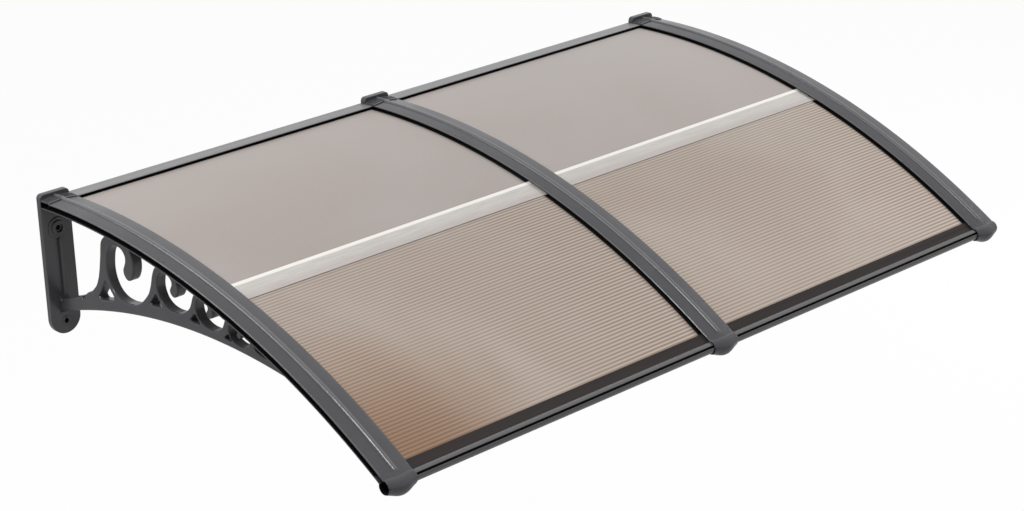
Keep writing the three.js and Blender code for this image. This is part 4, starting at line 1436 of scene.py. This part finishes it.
@dataclass
class BarScrews:
    """The self-tapping screws that hold the bars in the brackets."""

    head_r: float = 3.5
    head_h: float = 2.4
    shank_r: float = 1.75
    core_r: float = 1.35
    thread_pitch: float = 1.4
    recess: Corner = (3.4, 0.9, 1.3)
    length: float = 7.0
    play: float = 0.3

    def pattern(self) -> bpy.types.Object:
        """One screw, head down, with its seat at the origin."""
        head = [(0, -self.head_h), (1.4, -self.head_h), (2.5, -2.1), (3.2, -1.4), (self.head_r, -0.6),
                (self.head_r, 0), (self.core_r, 0)]
        thread = []
        for i in range(int((self.length - 2) / self.thread_pitch)):
            z = 0.8 + i * self.thread_pitch
            thread += [(self.core_r, z), (self.shank_r, z + 0.45), (self.core_r, z + 0.9)]
        tip = [(self.core_r, self.length - 1.6), (0, self.length)]
        body = revolve("screw", [*head, *thread, *tip], Vector(), UPWARD, 24)
        long, wide, deep = self.recess
        for a, b in ((long, wide), (wide, long)):
            base = Matrix.Translation((0, 0, -self.head_h * MM))
            cross = flat_curve("recess", [box(-a / 2, a / 2, -b / 2, b / 2)], 2 * deep, 0.05, base)
            combine(body, [cross], "DIFFERENCE")
        return body

    def dress(self, materials: Materials, bracket: Bracket, tree: GeometryTree) -> None:
        """Set every screw at its seat and hand them over as one piece."""
        nodes = [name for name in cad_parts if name.startswith("screw_")]
        rear_u, rear_z = ARC.point(bracket.rear_screw_s, bracket.flange_h)
        front_u, front_z = bracket.nose[0], bracket.nose[1] - bracket.front_seat
        seats = [place(x, u, z - self.play) for bay in Bay for x in bay.span(bracket.screw_x)
                 for u, z in ((rear_u, rear_z), (front_u, front_z))]
        mesh = bpy.data.meshes.new("bar_screws")
        mesh.from_pydata([tuple(p) for p in seats], [], [])
        piece = new_object("bar_screws", mesh)
        pattern = self.pattern()
        tree.apply(piece, Screw=pattern, Material=materials[Look.ZINC])
        discard(pattern)
        hand_over(piece, nodes)


# The studio
@dataclass
class Studio:
    """Camera, lamps, floor and the white surround."""

    camera_at: Corner = (-3053.5, -3668.3, 1663.5)
    camera_turn: Corner = (68.73, 1.5, -43.53)
    lens: float = 89.65
    sensor: float = 36.0
    floor_z: float = -900.0
    floor_half: float = 9000.0
    floor_colour: Colour = (0.7, 0.7, 0.7, 1)
    floor_white: float = 0.96
    floor_gloss: float = 0.1
    surround_level: float = 0.41

    def camera(self) -> None:
        """Set the camera at the photograph's viewing angle."""
        data = bpy.data.cameras.new("camera")
        data.lens = self.lens
        data.sensor_width = self.sensor
        data.clip_end = 50
        camera = new_object("camera", data)
        camera.location = Vector(self.camera_at) * MM
        camera.rotation_euler = Euler([math.radians(a) for a in self.camera_turn], "XYZ")
        bpy.context.scene.camera = camera

    def lamp(self, name: str, at: Corner, aim: Corner, size: float, power: float, shines: bool = False) -> None:
        """Add a soft square lamp.

        Args:
            name: The lamp's name.
            at: Its place in metres.
            aim: The point in metres that it faces.
            size: Its side in metres.
            power: Its power in watts.
            shines: Whether glossy surfaces mirror the lamp itself.
        """
        data = bpy.data.lights.new(name, "AREA")
        data.shape = "SQUARE"
        data.size = size
        data.energy = power
        lamp = new_object(name, data)
        lamp.location = at
        lamp.visible_glossy = shines
        lamp.rotation_euler = (Vector(aim) - Vector(at)).to_track_quat("-Z", "Y").to_euler()

    def surround(self) -> None:
        """A white surround for the camera, for gloss and through glass, and a soft one for light."""
        world = bpy.data.worlds.new("surround")
        bpy.context.scene.world = world
        world.use_nodes = True
        work = Shader(world.node_tree)
        path = work.node("ShaderNodeLightPath").outputs
        seen = work.math("MAXIMUM", path["Is Camera Ray"], path["Is Glossy Ray"])
        seen = work.math("MAXIMUM", seen, path["Is Transmission Ray"])
        inputs = {"Value": seen, "To Min": self.surround_level, "To Max": 1.0}
        level = work.node("ShaderNodeMapRange", inputs).outputs["Result"]
        light = work.node("ShaderNodeBackground", {"Color": (1, 1, 1, 1), "Strength": level})
        work.show("ShaderNodeOutputWorld", light)

    def floor(self) -> None:
        """A plain pale floor that keeps the canopy's shadow."""
        half, z = self.floor_half, self.floor_z
        mesh = bpy.data.meshes.new("floor")
        corners = [place(x, u, z) for x, u in box(-half, half, half, -half)]
        mesh.from_pydata([tuple(corner) for corner in corners], [], [(0, 1, 2, 3)])
        material = bpy.data.materials.new("pale_floor")
        material.use_nodes = True
        work = Shader(material.node_tree)
        matt = work.node("ShaderNodeBsdfDiffuse", {"Color": self.floor_colour})
        white = work.node("ShaderNodeEmission", {"Color": (1, 1, 1, 1), "Strength": 1.0})
        path = work.node("ShaderNodeLightPath").outputs
        seen = work.math("MAXIMUM", path["Is Camera Ray"], path["Is Transmission Ray"])
        gloss = work.math("MULTIPLY", path["Is Glossy Ray"], self.floor_gloss)
        share = work.math("MULTIPLY", work.math("MAXIMUM", seen, gloss), self.floor_white)
        work.show("ShaderNodeOutputMaterial", work.node(
            "ShaderNodeMixShader", {0: share, 1: matt.outputs[0], 2: white.outputs[0]}))
        mesh.materials.append(material)
        new_object("floor", mesh)

    def lamps(self) -> None:
        """The main lamp on the right, a broad one overhead, and two on the left for the edges and beads."""
        self.lamp("main", (3.3, -0.7, 2.0), (0, -0.4, 0), 1.0, 120)
        self.lamp("overhead", (0, -0.4, 3.2), (0, -0.4, 0), 3.0, 12)
        self.lamp("rim_light", (-2.06, 0.58, 1.6), (-0.75, -0.45, 0.05), 1.3, 24, True)
        self.lamp("bead_light", (-1.5, -1.05, 2.3), (-0.7, -0.8, 0), 0.5, 26, True)

    def build(self) -> None:
        """Set up the whole studio."""
        bpy.context.scene.view_settings.view_transform = "Standard"
        self.surround()
        self.floor()
        self.lamps()


def main() -> None:
    """Build the studio and the canopy, piece by piece."""
    logging.basicConfig(level=logging.INFO, format="%(name)s: %(message)s")
    studio = Studio()
    studio.camera()
    studio.build()
    groups = Groups()
    materials = {look: look.value.build(groups) for look in Look}
    bracket = Bracket()
    bracket.dress(materials)
    walls = flute_wall_tree()
    TwinWallSheet("sheet_rear", 21.5, 496.5, Look.REAR_SHEET).dress(materials, walls)
    TwinWallSheet("sheet_front", 499.5, 956.0, Look.FRONT_SHEET).dress(materials, walls)
    for part in (Joiner(), FrontBar(), RearBar()):
        part.dress(materials)
    BarScrews().dress(materials, bracket, screw_tree())


if __name__ == "__main__":
    main()
